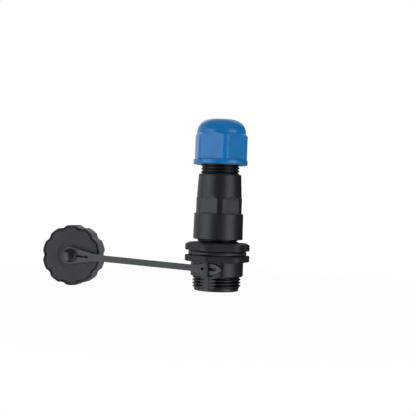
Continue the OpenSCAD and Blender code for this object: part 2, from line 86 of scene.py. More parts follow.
# Heights along the axis, from the frame
RIM_Z = reach("socket_shell", 2, 0)
NECK_TOP_Z = reach("socket_shell", 2, 1)
MATING_SEAL_Z = reach("mating_seal", 2, 0)
GASKET_TOP_Z = reach("panel_gasket", 2, 1)
PANEL_NUT_Z = reach("panel_nut", 2, 0)
PANEL_NUT_TOP_Z = reach("panel_nut", 2, 1)
SKIRT_Z = reach("back_shell", 2, 0)
GLAND_END_Z = reach("back_shell", 2, 1)
GLAND_NUT_Z = reach("gland_nut", 2, 0)
GLAND_TOP_Z = reach("gland_nut", 2, 1)
SEAL_Z = reach("cable_seal", 2, 0)
LOOP_Z = JOINTS["strap_swing"]["pos_m"][2] / MM

# Meshes: columns round an axis, the least cosine towards a flat, which keeps a flat that faces away far out,
# edges, and the sizes below which points are joined and faces dropped
COLUMNS = 300
AROUND = np.linspace(0.0, 360.0, COLUMNS, endpoint=False)
LEAST_FACING = 0.05
SOFT_EDGE = 0.25
SHARP_ANGLE = 32.0
MERGE_DISTANCE = 0.002
THIN_FACE = 0.001

# Threads: one pitch for all of them, and the profile's depth over one pitch from crest to crest
PITCH = 1.0
PROFILE_PHASE = np.array([0.0, 0.08, 0.28, 0.48, 0.52, 0.72, 0.92])
PROFILE_DEPTH = np.array([0.0, 0.0, 0.5, 1.0, 1.0, 0.5, 0.0])
THREAD_RUNOUT = 0.3

# Mating side of the shell
LEAD_R = 7.05
LEAD_LEN = 0.8
LEAD_ROUND = 0.35
MATING_R = 7.65
MATING_Z = RIM_Z + LEAD_LEN
MATING_LEN = 3.8
MATING_DEPTH = 0.6
MATING_START = -0.1
MATING_ENTRY = 0.5
MOUTH_R = 6.25
MOUTH_DEPTH = 9.5
KEY_W = 1.6
KEY_H = 0.6
KEY_RECESS = 2.25
KEY_GAP = 0.05
COLLAR_R = 8.3
COLLAR_Z = MATING_Z + MATING_LEN
COLLAR_CHAMFER = 0.25
COLLAR_SOFT = 0.05
COLLAR_EASE = 0.07
FLANGE_T = 2.0
FLAT_R = 7.05
FLAT_BLEND = 0.5
FLAT_THREAD_BLEND = 0.01
PARTING_TURN = 4.0
PARTING_DEPTH = 0.1

# Panel side of the shell, panel nut and gasket
PANEL_R = 6.5
PANEL_DEPTH = 0.5
PANEL_FOOT = 0.1
NECK_BORE_R = 5.2
WEB_T = 2.0
WEB_BORE_R = 4.74
HEX_HALF = 9.3
HEX_CORNER_BLEND = 1.8
HEX_BLUNT_R = 10.36
HEX_BLUNT_BLEND = 0.06
NUT_BORE_R = 6.56
NUT_LEAD_W = 0.4
NUT_LEAD_H = 0.3
NUT_FACE_INSET = 0.2
NUT_FACE_EASE = 0.1
NUT_CHAMFER_ANGLE = 30.0
NUT_CHAMFER_SOFT = 0.15
NUT_CHAMFER_SOFT_SHARE = 0.4
NUT_CHAMFER_DROP = 0.12
NUT_CHAMFER_INSET = 0.04
NUT_CHAMFER_SAG = 0.01
GASKET_R = reach("panel_gasket", 0, 1)
GASKET_ROUND = 0.6

# Back shell
SKIRT_R = reach("back_shell", 0, 1)
SKIRT_DRAFT = 0.07
SKIRT_BORE_R = 6.54
LEDGE_Z = SKIRT_Z + 8.2
GRIP_R = 7.23
GRIP_TOP_Z = LEDGE_Z + 5.45
GRIP_HALF = 6.55
GRIP_TURN = 1.8
GRIP_BAND = 0.9
GRIP_BLEND = 0.05
GRIP_STEPS = 12
FLAT_SPREAD = 65.0
ARCH_RISE = 1.2
ARCH_LEAD = 0.1
ARCH_OVER = 0.2
ARCH_STEPS = 29
TAPER_LOW_R = 7.08
TAPER_TOP_R = 6.77
TAPER_EDGE = 0.45
SHOULDER_Z = GRIP_TOP_Z + 6.95
GLAND_R = 6.1
GLAND_DEPTH = 0.45
GLAND_FOOT = 0.05
SEAL_SEAT_Z = 12.48
PASSAGE_R = 3.6
PASSAGE_LEN = 2.0
POCKET_R = 4.75

# Gland nut
GLAND_RIM_R = reach("gland_nut", 0, 1)
GLAND_RIM_T = 1.6
GLAND_RIM_LOW_ROUND = 0.45
GLAND_RIM_TOP_ROUND = 0.35
GLAND_HALF = 7.75
GLAND_FLATS_BLEND = 0.02
GLAND_CORNER_R = 8.6
GLAND_CORNER_BLEND = 0.05
GLAND_TURN = 9.0
GLAND_FACET_RISES = (0.03, 0.3, 2.0)
GLAND_FACET_DROP = 1.0
DOME_R = 7.7
DOME_ROUND = 4.1
DOME_STEPS = 24
DOME_FOOT = 0.4
DOME_FLARE = 0.9
FLARE_LEAD = 0.3
FLARE_STEPS = 36
GLAND_BORE_R = 6.16
GLAND_MOUTH = 0.3
GLAND_LIP_Z = 36.2
GLAND_LIP_R = 5.45
GLAND_LIP_H = 0.6
GLAND_GROOVE_H = 1.2
GLAND_CONE_R = 5.8
GLAND_HOLE_R = 3.4
GLAND_HOLE_CHAMFER = 0.15
GLAND_LAND = 1.1

# Cap
CAP_R = 9.605
CAP_H = 5.8
CAP_PLATE = 1.1
CAP_BORE_R = 7.71
CAP_MOUTH = 0.2
CAP_THREAD_DEPTH = 0.45
CAP_THREAD_FOOT = 0.25
CAP_THREAD_RUNOUT = 0.1
CAP_SEAT_R = 7.91
CAP_SEAT_T = 0.7
CAP_TURN = 5.0
SCALLOPS = 10
SCALLOP_DEPTH = 0.5
SCALLOP_R = 2.2
SCALLOP_BLEND = 0.25
CAP_RECESS_R = 4.35
CAP_RECESS_DEPTH = 0.12
CAP_RECESS_EDGE = 1.1
CAP_RECESS_STEPS = 7
CAP_FACE_RINGS = (5.6, 7.0, 8.0)
CAP_ROUND = 0.3
CAP_GROOVE_W = 0.6
CAP_GROOVE_DEPTH = 0.62
STUD_NECK_R = 1.75
STUD_NECK_H = 1.3
STUD_HEAD_R = 2.2
STUD_HEAD_H = 1.2
STUD_HEAD_STEPS = 14
STUD_SIDE_H = 0.5
STUD_SOFT = 0.12
STUD_EASE = 0.03
STUD_FOOT_SOFT = 0.06

# Loop on the shell's flat
LOOP_TURN = 23.2
LOOP_ANGLE = -90.0 - LOOP_TURN
LOOP_OUT = Vector((-sin(radians(LOOP_TURN)), -cos(radians(LOOP_TURN)), 0.0))
LOOP_ROOT = 0.6
LOOP_ROUND = 0.28
LOOP_CORNER = 0.5
LOOP_CORNER_CUT = 0.15
BAR_W = 1.55
BAR_IN = 8.31
BAR_OUT = 9.11
SLOT_H = 3.06

# Strap: the barb and the tongue under the loop's bar, the bend beside it, the band and the eye.
# Its plate is cut across at every STRAP_STEP, and at every STRAP_FLEX_STEP within STRAP_FLEX of the loop.
STRAP_T = 1.1
STRAP_W = 1.95
STRAP_Y = 7.68
STRAP_LEAN = 3.0
STRAP_TURN = 10.0
STRAP_LEN = 42.4
STRAP_ROUND = 0.14
STRAP_SPACING = 0.5
STRAP_STEP = 1.5
STRAP_FLEX = 13.0
STRAP_FLEX_STEP = 0.4
NECK_H = 2.9
HEAD_H = 3.8
HEAD_LEN = 4.2
BARB_X = 0.855
BARB_H = 3.6
BARB_LEN = 3.8
BARB_TIP_H = 0.5
BARB_TIP_CUT = 0.1
BARB_STEPS = 12
SLIT_START = 0.68
SLIT_START_R = 0.4
SLIT_END = 2.75
SLIT_END_R = 0.5
BEND_LEN = 1.3
BEND_X = -BARB_X - BEND_LEN
BEND_SPREAD = 0.9
EYE_R = 2.71
EYE_OPENING = 78.0
EYE_HOLE_R = 1.81
EYE_TAIL = 7.3
EYE_TAIL_W = 2.5
EYE_NECK_LEN = 4.5
EYE_SLIT_LEN = 5.45
EYE_SLIT_HALF = 0.24
EYE_SLIT_END_R = 0.5

# Path that the strap is bent along, past both its ends, and the place on it that stays as drawn
PATH_START = -60.0
PATH_END = 10.0
PATH_POINTS = 14001
PATH_FIXED = 5.0

# Marks on points: the flange's rim, the slack round marked places, and the share of a groove's depth at
# which its painted shade is full
FLANGE_MARK_W = 0.4
FLANGE_MARK_SLACK = 0.01
CAP_MARK_SLACK = 0.1
GROOVE_ROOT_SLACK = 0.05
GROOVE_FLAT_SLACK = 0.15
GROOVE_DARK_SHARE = 0.5

# Effects on the finishes: ranges of the noise, edges and directions, and the shares that they lead to
FULL_SHARE = (0.0, 1.0)
NOISE_RANGE = (0.3, 0.7)
CONVEX_RANGE = (0.52, 0.62)
BREAKUP_RANGE = (0.3, 0.65)
BREAKUP_SHARE = (0.25, 1.0)
BREAKUP_PER_GRAIN = 0.25
UPWARD_RANGE = (0.1, 0.9)
UPWARD_SHARE = (0.25, 1.0)
PATCH_RANGE = (0.35, 0.7)
PATCHES_PER_FLOW = 2.0
DUST_ROUGHNESS = 0.3
# The groove mark's colour is painted shade: near black, for the shade that falls in thread grooves.
MARK_COLOURS = {"polished": (0.011, 0.012, 0.015), "groove_shade": (0.0012, 0.0013, 0.0017)}
MARK_ROUGHNESS = {"polished": 0.3, "matt": 0.56, "groove_shade": 0.28}

# Finishes: scales are per metre, and each pair of roughnesses is for the grain's hollows and its tops
FINISHES = {
    "black_plastic": {
        "colour": (0.0062, 0.0066, 0.0086), "flow_colour": (0.0084, 0.009, 0.011),
        "worn_and_wall_light_colour": (0.05, 0.053, 0.057), "dust_colour": (0.16, 0.16, 0.155),
        "roughness": (0.36, 0.48), "grain_scale": 5200.0, "flow_scale": 170.0,
        "bump": 0.25, "bump_height": 0.02, "wear": 0.2, "dust": 0.015,
    },
    # The cap's worn colour is also painted over its whole wall as painted light.
    "cap_plastic": {
        "colour": (0.027, 0.028, 0.032), "flow_colour": (0.033, 0.034, 0.038),
        "worn_and_wall_light_colour": (0.126, 0.133, 0.136), "dust_colour": (0.18, 0.18, 0.175),
        "roughness": (0.5, 0.66), "grain_scale": 4200.0, "flow_scale": 140.0,
        "bump": 0.4, "bump_height": 0.03, "wear": 0.35, "dust": 0.05,
    },
    "strap_plastic": {
        "colour": (0.069, 0.0735, 0.0745), "flow_colour": (0.078, 0.083, 0.084),
        "worn_and_wall_light_colour": (0.11, 0.112, 0.114), "dust_colour": (0.18, 0.18, 0.175),
        "roughness": (0.5, 0.64), "grain_scale": 4600.0, "flow_scale": 200.0,
        "bump": 0.3, "bump_height": 0.02, "wear": 0.25, "dust": 0.05,
    },
    "blue_plastic": {
        "colour": (0.001, 0.164, 0.45), "flow_colour": (0.002, 0.174, 0.475),
        "worn_and_wall_light_colour": (0.012, 0.2, 0.52), "dust_colour": (0.08, 0.26, 0.5),
        "roughness": (0.2, 0.3), "grain_scale": 5200.0, "flow_scale": 150.0,
        "bump": 0.2, "bump_height": 0.02, "wear": 0.1, "dust": 0.008, "specular": 0.45,
    },
    "insulator_plastic": {
        "colour": (0.034, 0.035, 0.037), "flow_colour": (0.041, 0.042, 0.044),
        "worn_and_wall_light_colour": (0.09, 0.09, 0.09), "dust_colour": (0.16, 0.16, 0.155),
        "roughness": (0.48, 0.6), "grain_scale": 5200.0, "flow_scale": 240.0,
        "bump": 0.25, "bump_height": 0.02, "wear": 0.2, "dust": 0.05,
    },
    "seal_rubber": {
        "colour": (0.009, 0.009, 0.010), "flow_colour": (0.013, 0.013, 0.014),
        "worn_and_wall_light_colour": (0.04, 0.04, 0.04), "dust_colour": (0.14, 0.14, 0.135),
        "roughness": (0.38, 0.52), "grain_scale": 3600.0, "flow_scale": 300.0,
        "bump": 0.35, "bump_height": 0.03, "wear": 0.15, "dust": 0.03,
    },
    "contact_gold": {
        "colour": (0.78, 0.55, 0.2), "flow_colour": (0.84, 0.61, 0.25),
        "worn_and_wall_light_colour": (0.9, 0.72, 0.4), "dust_colour": (0.3, 0.28, 0.22),
        "roughness": (0.2, 0.32), "grain_scale": 7000.0, "flow_scale": 400.0,
        "bump": 0.1, "bump_height": 0.01, "wear": 0.3, "dust": 0.05, "metallic": 1.0,
    },
}

# Camera: its place, its roll, the size that one pixel shows at the axis, and the pixels across the image
CAMERA_DISTANCE = 260.0
CAMERA_X = -3.46
CAMERA_Z = 14.77
CAMERA_ROLL = 2.05
CAMERA_SENSOR = 36.0
CAMERA_CLIP = 10.0
PIXEL = 0.3168
IMAGE = 416

# Floor: its share of plain white for the camera rises from near the object to far from it
FLOOR_HALF = 6000.0
FLOOR_DROP = 0.2
FLOOR_COLOUR = (0.85, 0.85, 0.85)
FLOOR_ROUGHNESS = 0.9
FLOOR_NEAR = 40.0
FLOOR_FAR = 160.0
FLOOR_WHITE_SHARE = (0.96, 1.0)

# Room: an even fill light, and what reflections see of its bright side and from above
WHITE = (1.0, 1.0, 1.0)
ROOM_FILL = 0.36
ROOM_BRIGHT_SIDE = (-0.8, 0.6, 0.0)
ROOM_SIDE_RANGE = (0.35, 0.95)
ROOM_SIDE_GLOW = (0.03, 0.7)
ROOM_TOP_RANGE = (0.55, 0.95)
ROOM_TOP_GLOW = (0.0, 0.45)

# Soft boxes: azimuth from the camera to the right and rise, width and height, and watts
SOFT_BOXES = {
    "soft_box_left": ((-58.0, -14.0), (600.0, 900.0), 3.9),
    "soft_box_right": ((54.0, -11.0), (500.0, 850.0), 3.35),
    "soft_box_low": ((22.0, -52.0), (300.0, 300.0), 0.5),
    "soft_box_back": ((176.0, 44.0), (800.0, 500.0), 1.2),
}
SOFT_BOX_COLOUR = (0.88, 0.96, 1.0)
SOFT_BOX_AIM = (-12.0, 0.0, 14.0)
SOFT_BOX_DISTANCE = 700.0


# Curves

def smooth_min(first, second, blend):
    """The lesser of two values, with the change from one to the other rounded over blend."""
    share = np.clip(0.5 + 0.5 * (second - first) / blend, 0.0, 1.0)
    return second * (1.0 - share) + first * share - blend * share * (1.0 - share)


def smooth_step(share):
    """A share from 0 to 1 that starts and ends level."""
    return share * share * (3 - 2 * share)


def degrees_of(sine):
    """Angle in degrees whose sine is given."""
    return float(np.degrees(np.arcsin(sine)))


def angle_from(middle):
    """Angle in degrees from middle to each column, from -180 to 180."""
    return (AROUND - middle + 180.0) % 360.0 - 180.0


def flat_radius(half, middle):
    """Distance from the axis to a flat that lies half away and faces middle."""
    facing = np.cos(np.radians(angle_from(middle)))
    return half / np.maximum(facing, LEAST_FACING)


def hexagon_flats(half, corner, blend):
    """Distance from the axis to a hexagon with a corner at the angle corner, and all corners rounded."""
    middles = [corner + 30.0 + 60.0 * side for side in range(6)]
    radius = flat_radius(half, middles[0])
    for middle in middles[1:]:
        radius = smooth_min(radius, flat_radius(half, middle), blend)
    return radius


# Rings: each has a radius, a height and, on a helix, how many rings on it meets itself after one turn

def ring(radius, height):
    """One plain ring of points: radius and height are values, or hold one value for each column."""
    return radius, height, 0


def lower_edge(radius, height, size, steps=4):
    """Rings of a rounded edge at the lower end of an outside wall, from below."""
    turns = [radians(90.0 * step / steps) for step in range(steps + 1)]
    rings = [ring(radius - size * (1 - sin(turn)), height + size * (1 - cos(turn))) for turn in turns]
    return rings + [ring(radius, height + 2 * size)]


def upper_edge(radius, height, size, steps=4):
    """Rings of a rounded edge at the upper end of an outside wall, from below."""
    turns = [radians(90.0 * step / steps) for step in range(steps, -1, -1)]
    rings = [ring(radius - size * (1 - sin(turn)), height - size * (1 - cos(turn))) for turn in turns]
    return [ring(radius, height - 2 * size)] + rings


def helix(radius, depth, low, high, entry=0.0, start=0.0, inward=False):
    """Rings of a right-hand thread from low to high; entry is the height of its chamfer, start its turn."""
    per_turn = len(PROFILE_PHASE)
    turns = ceil((high - low) / PITCH) + 1
    rings = []
    for step in range(turns * per_turn + 1):
        along = step // per_turn - 1 + PROFILE_PHASE[step % per_turn]
        height = np.clip(low + PITCH * (along + start + AROUND / 360.0), low, high)
        phase = ((height - low) / PITCH - start - AROUND / 360.0) % 1.0
        cut = depth * np.interp(phase, PROFILE_PHASE, PROFILE_DEPTH, period=1.0)
        if entry:
            cut = np.maximum(cut, depth * (1.0 - (height - low) / entry))
        if inward:
            cut = depth - cut
        rings.append((radius - cut, height, per_turn))
    return rings


def clip_rings(rings, limit, blend):
    """The same rings, cut back to a limit that holds one radius for each column, with a blended edge."""
    return [(smooth_min(limit, radius, blend), height, shift) for radius, height, shift in rings]


def ring_partners(rings):
    """For each ring, the ring that it meets after one turn: itself, or one pitch on for a helix."""
    partners = list(range(len(rings)))
    for index, (radius, height, shift) in enumerate(rings):
        last = index
        while shift and last < len(rings) - 1 and rings[last + 1][2] and last - index < shift:
            last += 1
        partners[index] = last
    return partners


# Meshes and pieces

def turned_mesh(name, rings, closed=True):
    """Mesh through rings about Z; a closed one joins its last ring to its first."""
    count = len(rings)
    radius = np.array([np.broadcast_to(entry[0], COLUMNS) for entry in rings])
    height = np.array([np.broadcast_to(entry[1], COLUMNS) for entry in rings])
    turn = np.radians(AROUND)
    points = np.stack([radius * np.cos(turn), radius * np.sin(turn), height], axis=-1).reshape(-1, 3)
    here = np.arange(count * COLUMNS).reshape(count, COLUMNS)
    beside = np.roll(here, -1, axis=1)
    beside[:, -1] = here[ring_partners(rings), 0]
    if closed:
        quads = np.stack([here, beside, np.roll(beside, -1, axis=0), np.roll(here, -1, axis=0)], axis=-1)
    else:
        quads = np.stack([here[:-1], beside[:-1], beside[1:], here[1:]], axis=-1)
    mesh = bpy.data.meshes.new(name)
    mesh.from_pydata((points * MM).tolist(), [], quads.reshape(-1, 4).tolist())
    return mesh


def plate_mesh(name, outlines, thickness, rounding):
    """Flat plate in XY from closed outlines, those inside being holes, with rounded edges."""
    curve = bpy.data.curves.new(name, "CURVE")
    curve.dimensions = "2D"
    curve.fill_mode = "BOTH"
    curve.extrude = (thickness / 2 - rounding) * MM
    curve.bevel_depth = rounding * MM
    curve.bevel_resolution = 2
    curve.offset = -rounding * MM
    for outline in outlines:
        spline = curve.splines.new("POLY")
        spline.points.add(len(outline) - 1)
        for point, (x, y) in zip(spline.points, outline):
            point.co = (x * MM, y * MM, 0.0, 1.0)
        spline.use_cyclic_u = True
    holder = bpy.data.objects.new(name, curve)
    bpy.context.scene.collection.objects.link(holder)
    solid = holder.evaluated_get(bpy.context.evaluated_depsgraph_get())
    mesh = bpy.data.meshes.new_from_object(solid)
    bpy.data.objects.remove(holder)
    return mesh


def clean_mesh(mesh):
    """Joins points that lie together, drops faces without area and turns all faces outwards."""
    work = bmesh.new()
    work.from_mesh(mesh)
    bmesh.ops.remove_doubles(work, verts=work.verts, dist=MERGE_DISTANCE * MM)
    bmesh.ops.dissolve_degenerate(work, edges=work.edges, dist=THIN_FACE * MM)
    bmesh.ops.recalc_face_normals(work, faces=work.faces)
    work.to_mesh(mesh)
    work.free()


def add_piece(name, mesh, body, nodes, slot):
    """Puts a mesh into the scene as a piece for CAD nodes, which rides on a body if one is given."""
    clean_mesh(mesh)
    mesh.polygons.foreach_set("use_smooth", [True] * len(mesh.polygons))
    mesh.set_sharp_from_angle(angle=radians(SHARP_ANGLE))
    piece = bpy.data.objects.new(name, mesh)
    bpy.context.scene.collection.objects.link(piece)
    if body:
        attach(piece, body)
    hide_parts(*nodes)
    piece.data.materials.append(MATERIALS[slot])
    return piece


def mark_points(piece, name, inside, local=Matrix()):
    """Marks the points for which inside(radius, height) holds; local leads to a frame with its axis on Z."""
    marks = piece.data.attributes.new(name, "FLOAT", "POINT")
    for vertex, mark in zip(piece.data.vertices, marks.data):
        x, y, height = (local @ vertex.co) / MM
        mark.value = float(inside(np.hypot(x, y), height))


def mark_groove_shade(piece, threads):
    """Marks how far points lie in the grooves of threads, for painted shade and a glossier finish there,
    from 0 on a crest, but none on the flat.
    """
    marks = piece.data.attributes.new("groove_shade", "FLOAT", "POINT")
    for vertex, mark in zip(piece.data.vertices, marks.data):
        place = vertex.co / MM
        radius = np.hypot(place.x, place.y)
        for crest_r, depth, low, high in threads:
            outside = radius > crest_r - depth - GROOVE_ROOT_SLACK and low < place.z < high
            if outside and place.dot(LOOP_OUT) < FLAT_R - GROOVE_FLAT_SLACK:
                mark.value = float(np.clip((crest_r - radius) / (GROOVE_DARK_SHARE * depth), 0.0, 1.0))


# Shader nodes

def feed(tree, socket, value):
    """Links a socket to another one, or gives it a number or a colour."""
    if isinstance(value, bpy.types.NodeSocket):
        tree.links.new(value, socket)
    elif isinstance(value, tuple):
        socket.default_value = (*value, 1.0)
    else:
        socket.default_value = value


def math_node(tree, operation, first, second, clamp=False):
    """Math node whose two inputs are sockets or numbers; returns its output."""
    node = tree.nodes.new("ShaderNodeMath")
    node.operation = operation
    node.use_clamp = clamp
    feed(tree, node.inputs[0], first)
    feed(tree, node.inputs[1], second)
    return node.outputs["Value"]


def noise_node(tree, scale, detail, roughness=0.5):
    """Noise over the object, with a scale per metre; returns its value."""
    node = tree.nodes.new("ShaderNodeTexNoise")
    feed(tree, node.inputs["Vector"], tree.nodes.new("ShaderNodeTexCoord").outputs["Object"])
    feed(tree, node.inputs["Scale"], scale)
    feed(tree, node.inputs["Detail"], detail)
    feed(tree, node.inputs["Roughness"], roughness)
    return node.outputs["Fac"]


def range_node(tree, value, old_range, new_range):
    """Maps a value from one range to another, smoothly and within the new range."""
    node = tree.nodes.new("ShaderNodeMapRange")
    node.interpolation_type = "SMOOTHSTEP"
    feed(tree, node.inputs["Value"], value)
    for label, number in zip(("From Min", "From Max", "To Min", "To Max"), (*old_range, *new_range)):
        feed(tree, node.inputs[label], number)
    return node.outputs["Result"]


def mix_node(tree, kind, share, first, second):
    """Mixes two colours (kind RGBA) or two values (kind FLOAT) by a share."""
    node = tree.nodes.new("ShaderNodeMix")
    node.data_type = kind
    feed(tree, node.inputs["Factor"], share)
    feed(tree, node.inputs["A"], first)
    feed(tree, node.inputs["B"], second)
    return node.outputs["Result"]


def mix_shader(tree, share, first, second):
    """Mixes two shaders by a share."""
    node = tree.nodes.new("ShaderNodeMixShader")
    for socket, value in zip(node.inputs, (share, first, second)):
        feed(tree, socket, value)
    return node.outputs["Shader"]


def mark_node(tree, name):
    """Value of a mark that some meshes carry on their points, and 0 on the others."""
    node = tree.nodes.new("ShaderNodeAttribute")
    node.attribute_name = name
    return node.outputs["Fac"]


# Effects that the finishes share

def new_group(name, inputs, outputs):
    """Shader node group with named float inputs and outputs."""
    tree = bpy.data.node_groups.new(name, "ShaderNodeTree")
    for label in inputs:
        tree.interface.new_socket(label, in_out="INPUT", socket_type="NodeSocketFloat")
    for label in outputs:
        tree.interface.new_socket(label, in_out="OUTPUT", socket_type="NodeSocketFloat")
    return tree, tree.nodes.new("NodeGroupInput"), tree.nodes.new("NodeGroupOutput")


def make_grain_group():
    """Moulded grain: a fine spark-eroded texture and slow flow marks."""
    tree, enter, leave = new_group("moulded_grain", ["Grain scale", "Flow scale"], ["Grain", "Flow"])
    feed(tree, leave.inputs["Grain"], noise_node(tree, enter.outputs["Grain scale"], detail=3.0))
    feed(tree, leave.inputs["Flow"], noise_node(tree, enter.outputs["Flow scale"], detail=2.0))
    return tree


def make_wear_and_wall_light_group():
    """Edge wear and painted wall light: a mask of the convex edges, broken up by noise, and of the points
    marked for the cap wall's painted light, a lighter colour for the light that the wall reflects.
    """
    tree, enter, leave = new_group("edge_wear_and_wall_light", ["Amount", "Breakup scale"], ["Mask"])
    edge = tree.nodes.new("ShaderNodeNewGeometry").outputs["Pointiness"]
    convex = range_node(tree, edge, CONVEX_RANGE, FULL_SHARE)
    noise = noise_node(tree, enter.outputs["Breakup scale"], detail=3.0)
    breakup = range_node(tree, noise, BREAKUP_RANGE, BREAKUP_SHARE)
    broken = math_node(tree, "MULTIPLY", convex, breakup)
    edges = math_node(tree, "MULTIPLY", broken, enter.outputs["Amount"])
    # The cap's wall mark adds painted light: the wall takes the lighter worn colour for the light that it
    # reflects.
    feed(tree, leave.inputs["Mask"], math_node(tree, "MAXIMUM", edges, mark_node(tree, "painted_wall_light")))
    return tree


def make_dust_group():
    """Dust: a thin patchy veil, thickest on what faces up."""
    tree, enter, leave = new_group("fine_dust", ["Amount", "Patch scale"], ["Mask"])
    facing = tree.nodes.new("ShaderNodeSeparateXYZ")
    feed(tree, facing.inputs["Vector"], tree.nodes.new("ShaderNodeNewGeometry").outputs["Normal"])
    upward = range_node(tree, facing.outputs["Z"], UPWARD_RANGE, UPWARD_SHARE)
    noise = noise_node(tree, enter.outputs["Patch scale"], detail=5.0, roughness=0.6)
    patches = range_node(tree, noise, PATCH_RANGE, FULL_SHARE)
    veil = math_node(tree, "MULTIPLY", upward, patches)
    feed(tree, leave.inputs["Mask"], math_node(tree, "MULTIPLY", veil, enter.outputs["Amount"]))
    return tree


GROUPS = {"grain": make_grain_group(), "wear": make_wear_and_wall_light_group(), "dust": make_dust_group()}


def place_group(tree, name, **values):
    """Group node with its own values; a value's name has underscores for spaces."""
    node = tree.nodes.new("ShaderNodeGroup")
    node.node_tree = GROUPS[name]
    for label, value in values.items():
        feed(tree, node.inputs[label.replace("_", " ").capitalize()], value)
    return node


# Materials, one for each finish

def surface_colour(tree, finish, grain, dust):
    """Colour of a finish, with flow marks, wear, dust and the marks on its points, which also bring the cap
    wall's painted light and the grooves' painted shade.
    """
    breakup_scale = finish["grain_scale"] * BREAKUP_PER_GRAIN
    wear = place_group(tree, "wear", amount=finish["wear"], breakup_scale=breakup_scale)
    flow = range_node(tree, grain.outputs["Flow"], NOISE_RANGE, FULL_SHARE)
    colour = mix_node(tree, "RGBA", flow, finish["colour"], finish["flow_colour"])
    # The wear mask also brings painted light: the cap's wall takes the worn colour for the light that it
    # reflects.
    colour = mix_node(tree, "RGBA", wear.outputs["Mask"], colour, finish["worn_and_wall_light_colour"])
    colour = mix_node(tree, "RGBA", dust.outputs["Mask"], colour, finish["dust_colour"])
    for mark, marked_colour in MARK_COLOURS.items():
        colour = mix_node(tree, "RGBA", mark_node(tree, mark), colour, marked_colour)
    return colour


def surface_roughness(tree, finish, grain, dust):
    """Roughness of a finish, with grain, the marks on its points and dust."""
    rough = range_node(tree, grain.outputs["Grain"], NOISE_RANGE, finish["roughness"])
    for mark, marked_roughness in MARK_ROUGHNESS.items():
        rough = mix_node(tree, "FLOAT", mark_node(tree, mark), rough, marked_roughness)
    dusty = math_node(tree, "MULTIPLY", dust.outputs["Mask"], DUST_ROUGHNESS)
    return math_node(tree, "ADD", rough, dusty, clamp=True)


def surface_normal(tree, finish, grain):
    """Normal of a finish, with its grain as a bump."""
    bump = tree.nodes.new("ShaderNodeBump")
    feed(tree, bump.inputs["Strength"], finish["bump"])
    feed(tree, bump.inputs["Distance"], finish["bump_height"] * MM)
    feed(tree, bump.inputs["Height"], grain.outputs["Grain"])
    return bump.outputs["Normal"]


def make_material(name, finish):
    """Material of one finish."""
    material = bpy.data.materials.new(name)
    material.use_nodes = True
    tree = material.node_tree
    grain = place_group(tree, "grain", grain_scale=finish["grain_scale"], flow_scale=finish["flow_scale"])
    patch_scale = finish["flow_scale"] * PATCHES_PER_FLOW
    dust = place_group(tree, "dust", amount=finish["dust"], patch_scale=patch_scale)
    shader = tree.nodes["Principled BSDF"]
    feed(tree, shader.inputs["Metallic"], finish.get("metallic", 0.0))
    feed(tree, shader.inputs["Specular IOR Level"], finish.get("specular", 0.5))
    feed(tree, shader.inputs["Base Color"], surface_colour(tree, finish, grain, dust))
    feed(tree, shader.inputs["Roughness"], surface_roughness(tree, finish, grain, dust))
    feed(tree, shader.inputs["Normal"], surface_normal(tree, finish, grain))
    return material


MATERIALS = {name: make_material(name, finish) for name, finish in FINISHES.items()}


# Socket shell

def hexagon_radius():
    """Radius of the flange's and the panel nut's hexagon: blunted corners, one of them over the loop."""
    return smooth_min(hexagon_flats(HEX_HALF, LOOP_ANGLE, HEX_CORNER_BLEND), HEX_BLUNT_R, HEX_BLUNT_BLEND)


def mating_rings():
    """Rings of the lead-in, the mating thread and the collar, cut back to the flat with its parting line."""
    flat = flat_radius(FLAT_R, LOOP_ANGLE)
    parting = np.abs(angle_from(LOOP_ANGLE + PARTING_TURN)) < 180.0 / COLUMNS
    flat = np.where(parting, flat - PARTING_DEPTH, flat)
    thread = lower_edge(LEAD_R, RIM_Z, LEAD_ROUND) + [ring(LEAD_R, MATING_Z)]
    thread += helix(MATING_R, MATING_DEPTH, MATING_Z, COLLAR_Z, MATING_ENTRY, MATING_START)
    chamfer_z = COLLAR_Z + COLLAR_CHAMFER
    collar = [ring(COLLAR_R - COLLAR_CHAMFER, COLLAR_Z)]
    collar += [ring(COLLAR_R - COLLAR_SOFT, chamfer_z - COLLAR_SOFT)]
    wall_heights = (chamfer_z + COLLAR_EASE, COLLAR_Z + 2 * COLLAR_CHAMFER, -FLANGE_T)
    collar += [ring(COLLAR_R, height) for height in wall_heights]
    return clip_rings(thread, flat, FLAT_THREAD_BLEND) + clip_rings(collar, flat, FLAT_BLEND)


def mouth_rings(web_z):
    """Rings of the mouth from the web down to the rim, with the key rib opposite the loop."""
    key_angle = LOOP_ANGLE + 180.0
    on_key = np.abs(angle_from(key_angle)) < degrees_of(KEY_W / 2 / MOUTH_R)
    keyed = np.where(on_key, flat_radius(MOUTH_R - KEY_H, key_angle), MOUTH_R)
    key_top = MATING_SEAL_Z - KEY_GAP
    key_foot = RIM_Z + KEY_RECESS
    rings = [ring(MOUTH_R, web_z), ring(MOUTH_R, key_top), ring(keyed, key_top), ring(keyed, key_foot)]
    return rings + [ring(MOUTH_R, key_foot), ring(MOUTH_R, RIM_Z + SOFT_EDGE)]


def shell_rings():
    """Rings of the socket shell, from the rim of the mouth up the outside and back down the bore."""
    web_z = RIM_Z + MOUTH_DEPTH
    hexagon = hexagon_radius()
    rings = mating_rings()
    rings += lower_edge(hexagon, -FLANGE_T, SOFT_EDGE) + upper_edge(hexagon, 0.0, SOFT_EDGE)
    rings += [ring(PANEL_R, 0.0)]
    rings += helix(PANEL_R, PANEL_DEPTH, PANEL_FOOT, NECK_TOP_Z - THREAD_RUNOUT)
    rings += [ring(PANEL_R - PANEL_DEPTH, NECK_TOP_Z), ring(NECK_BORE_R, NECK_TOP_Z)]
    rings += [ring(NECK_BORE_R, web_z + WEB_T), ring(WEB_BORE_R, web_z + WEB_T), ring(WEB_BORE_R, web_z)]
    return rings + mouth_rings(web_z)


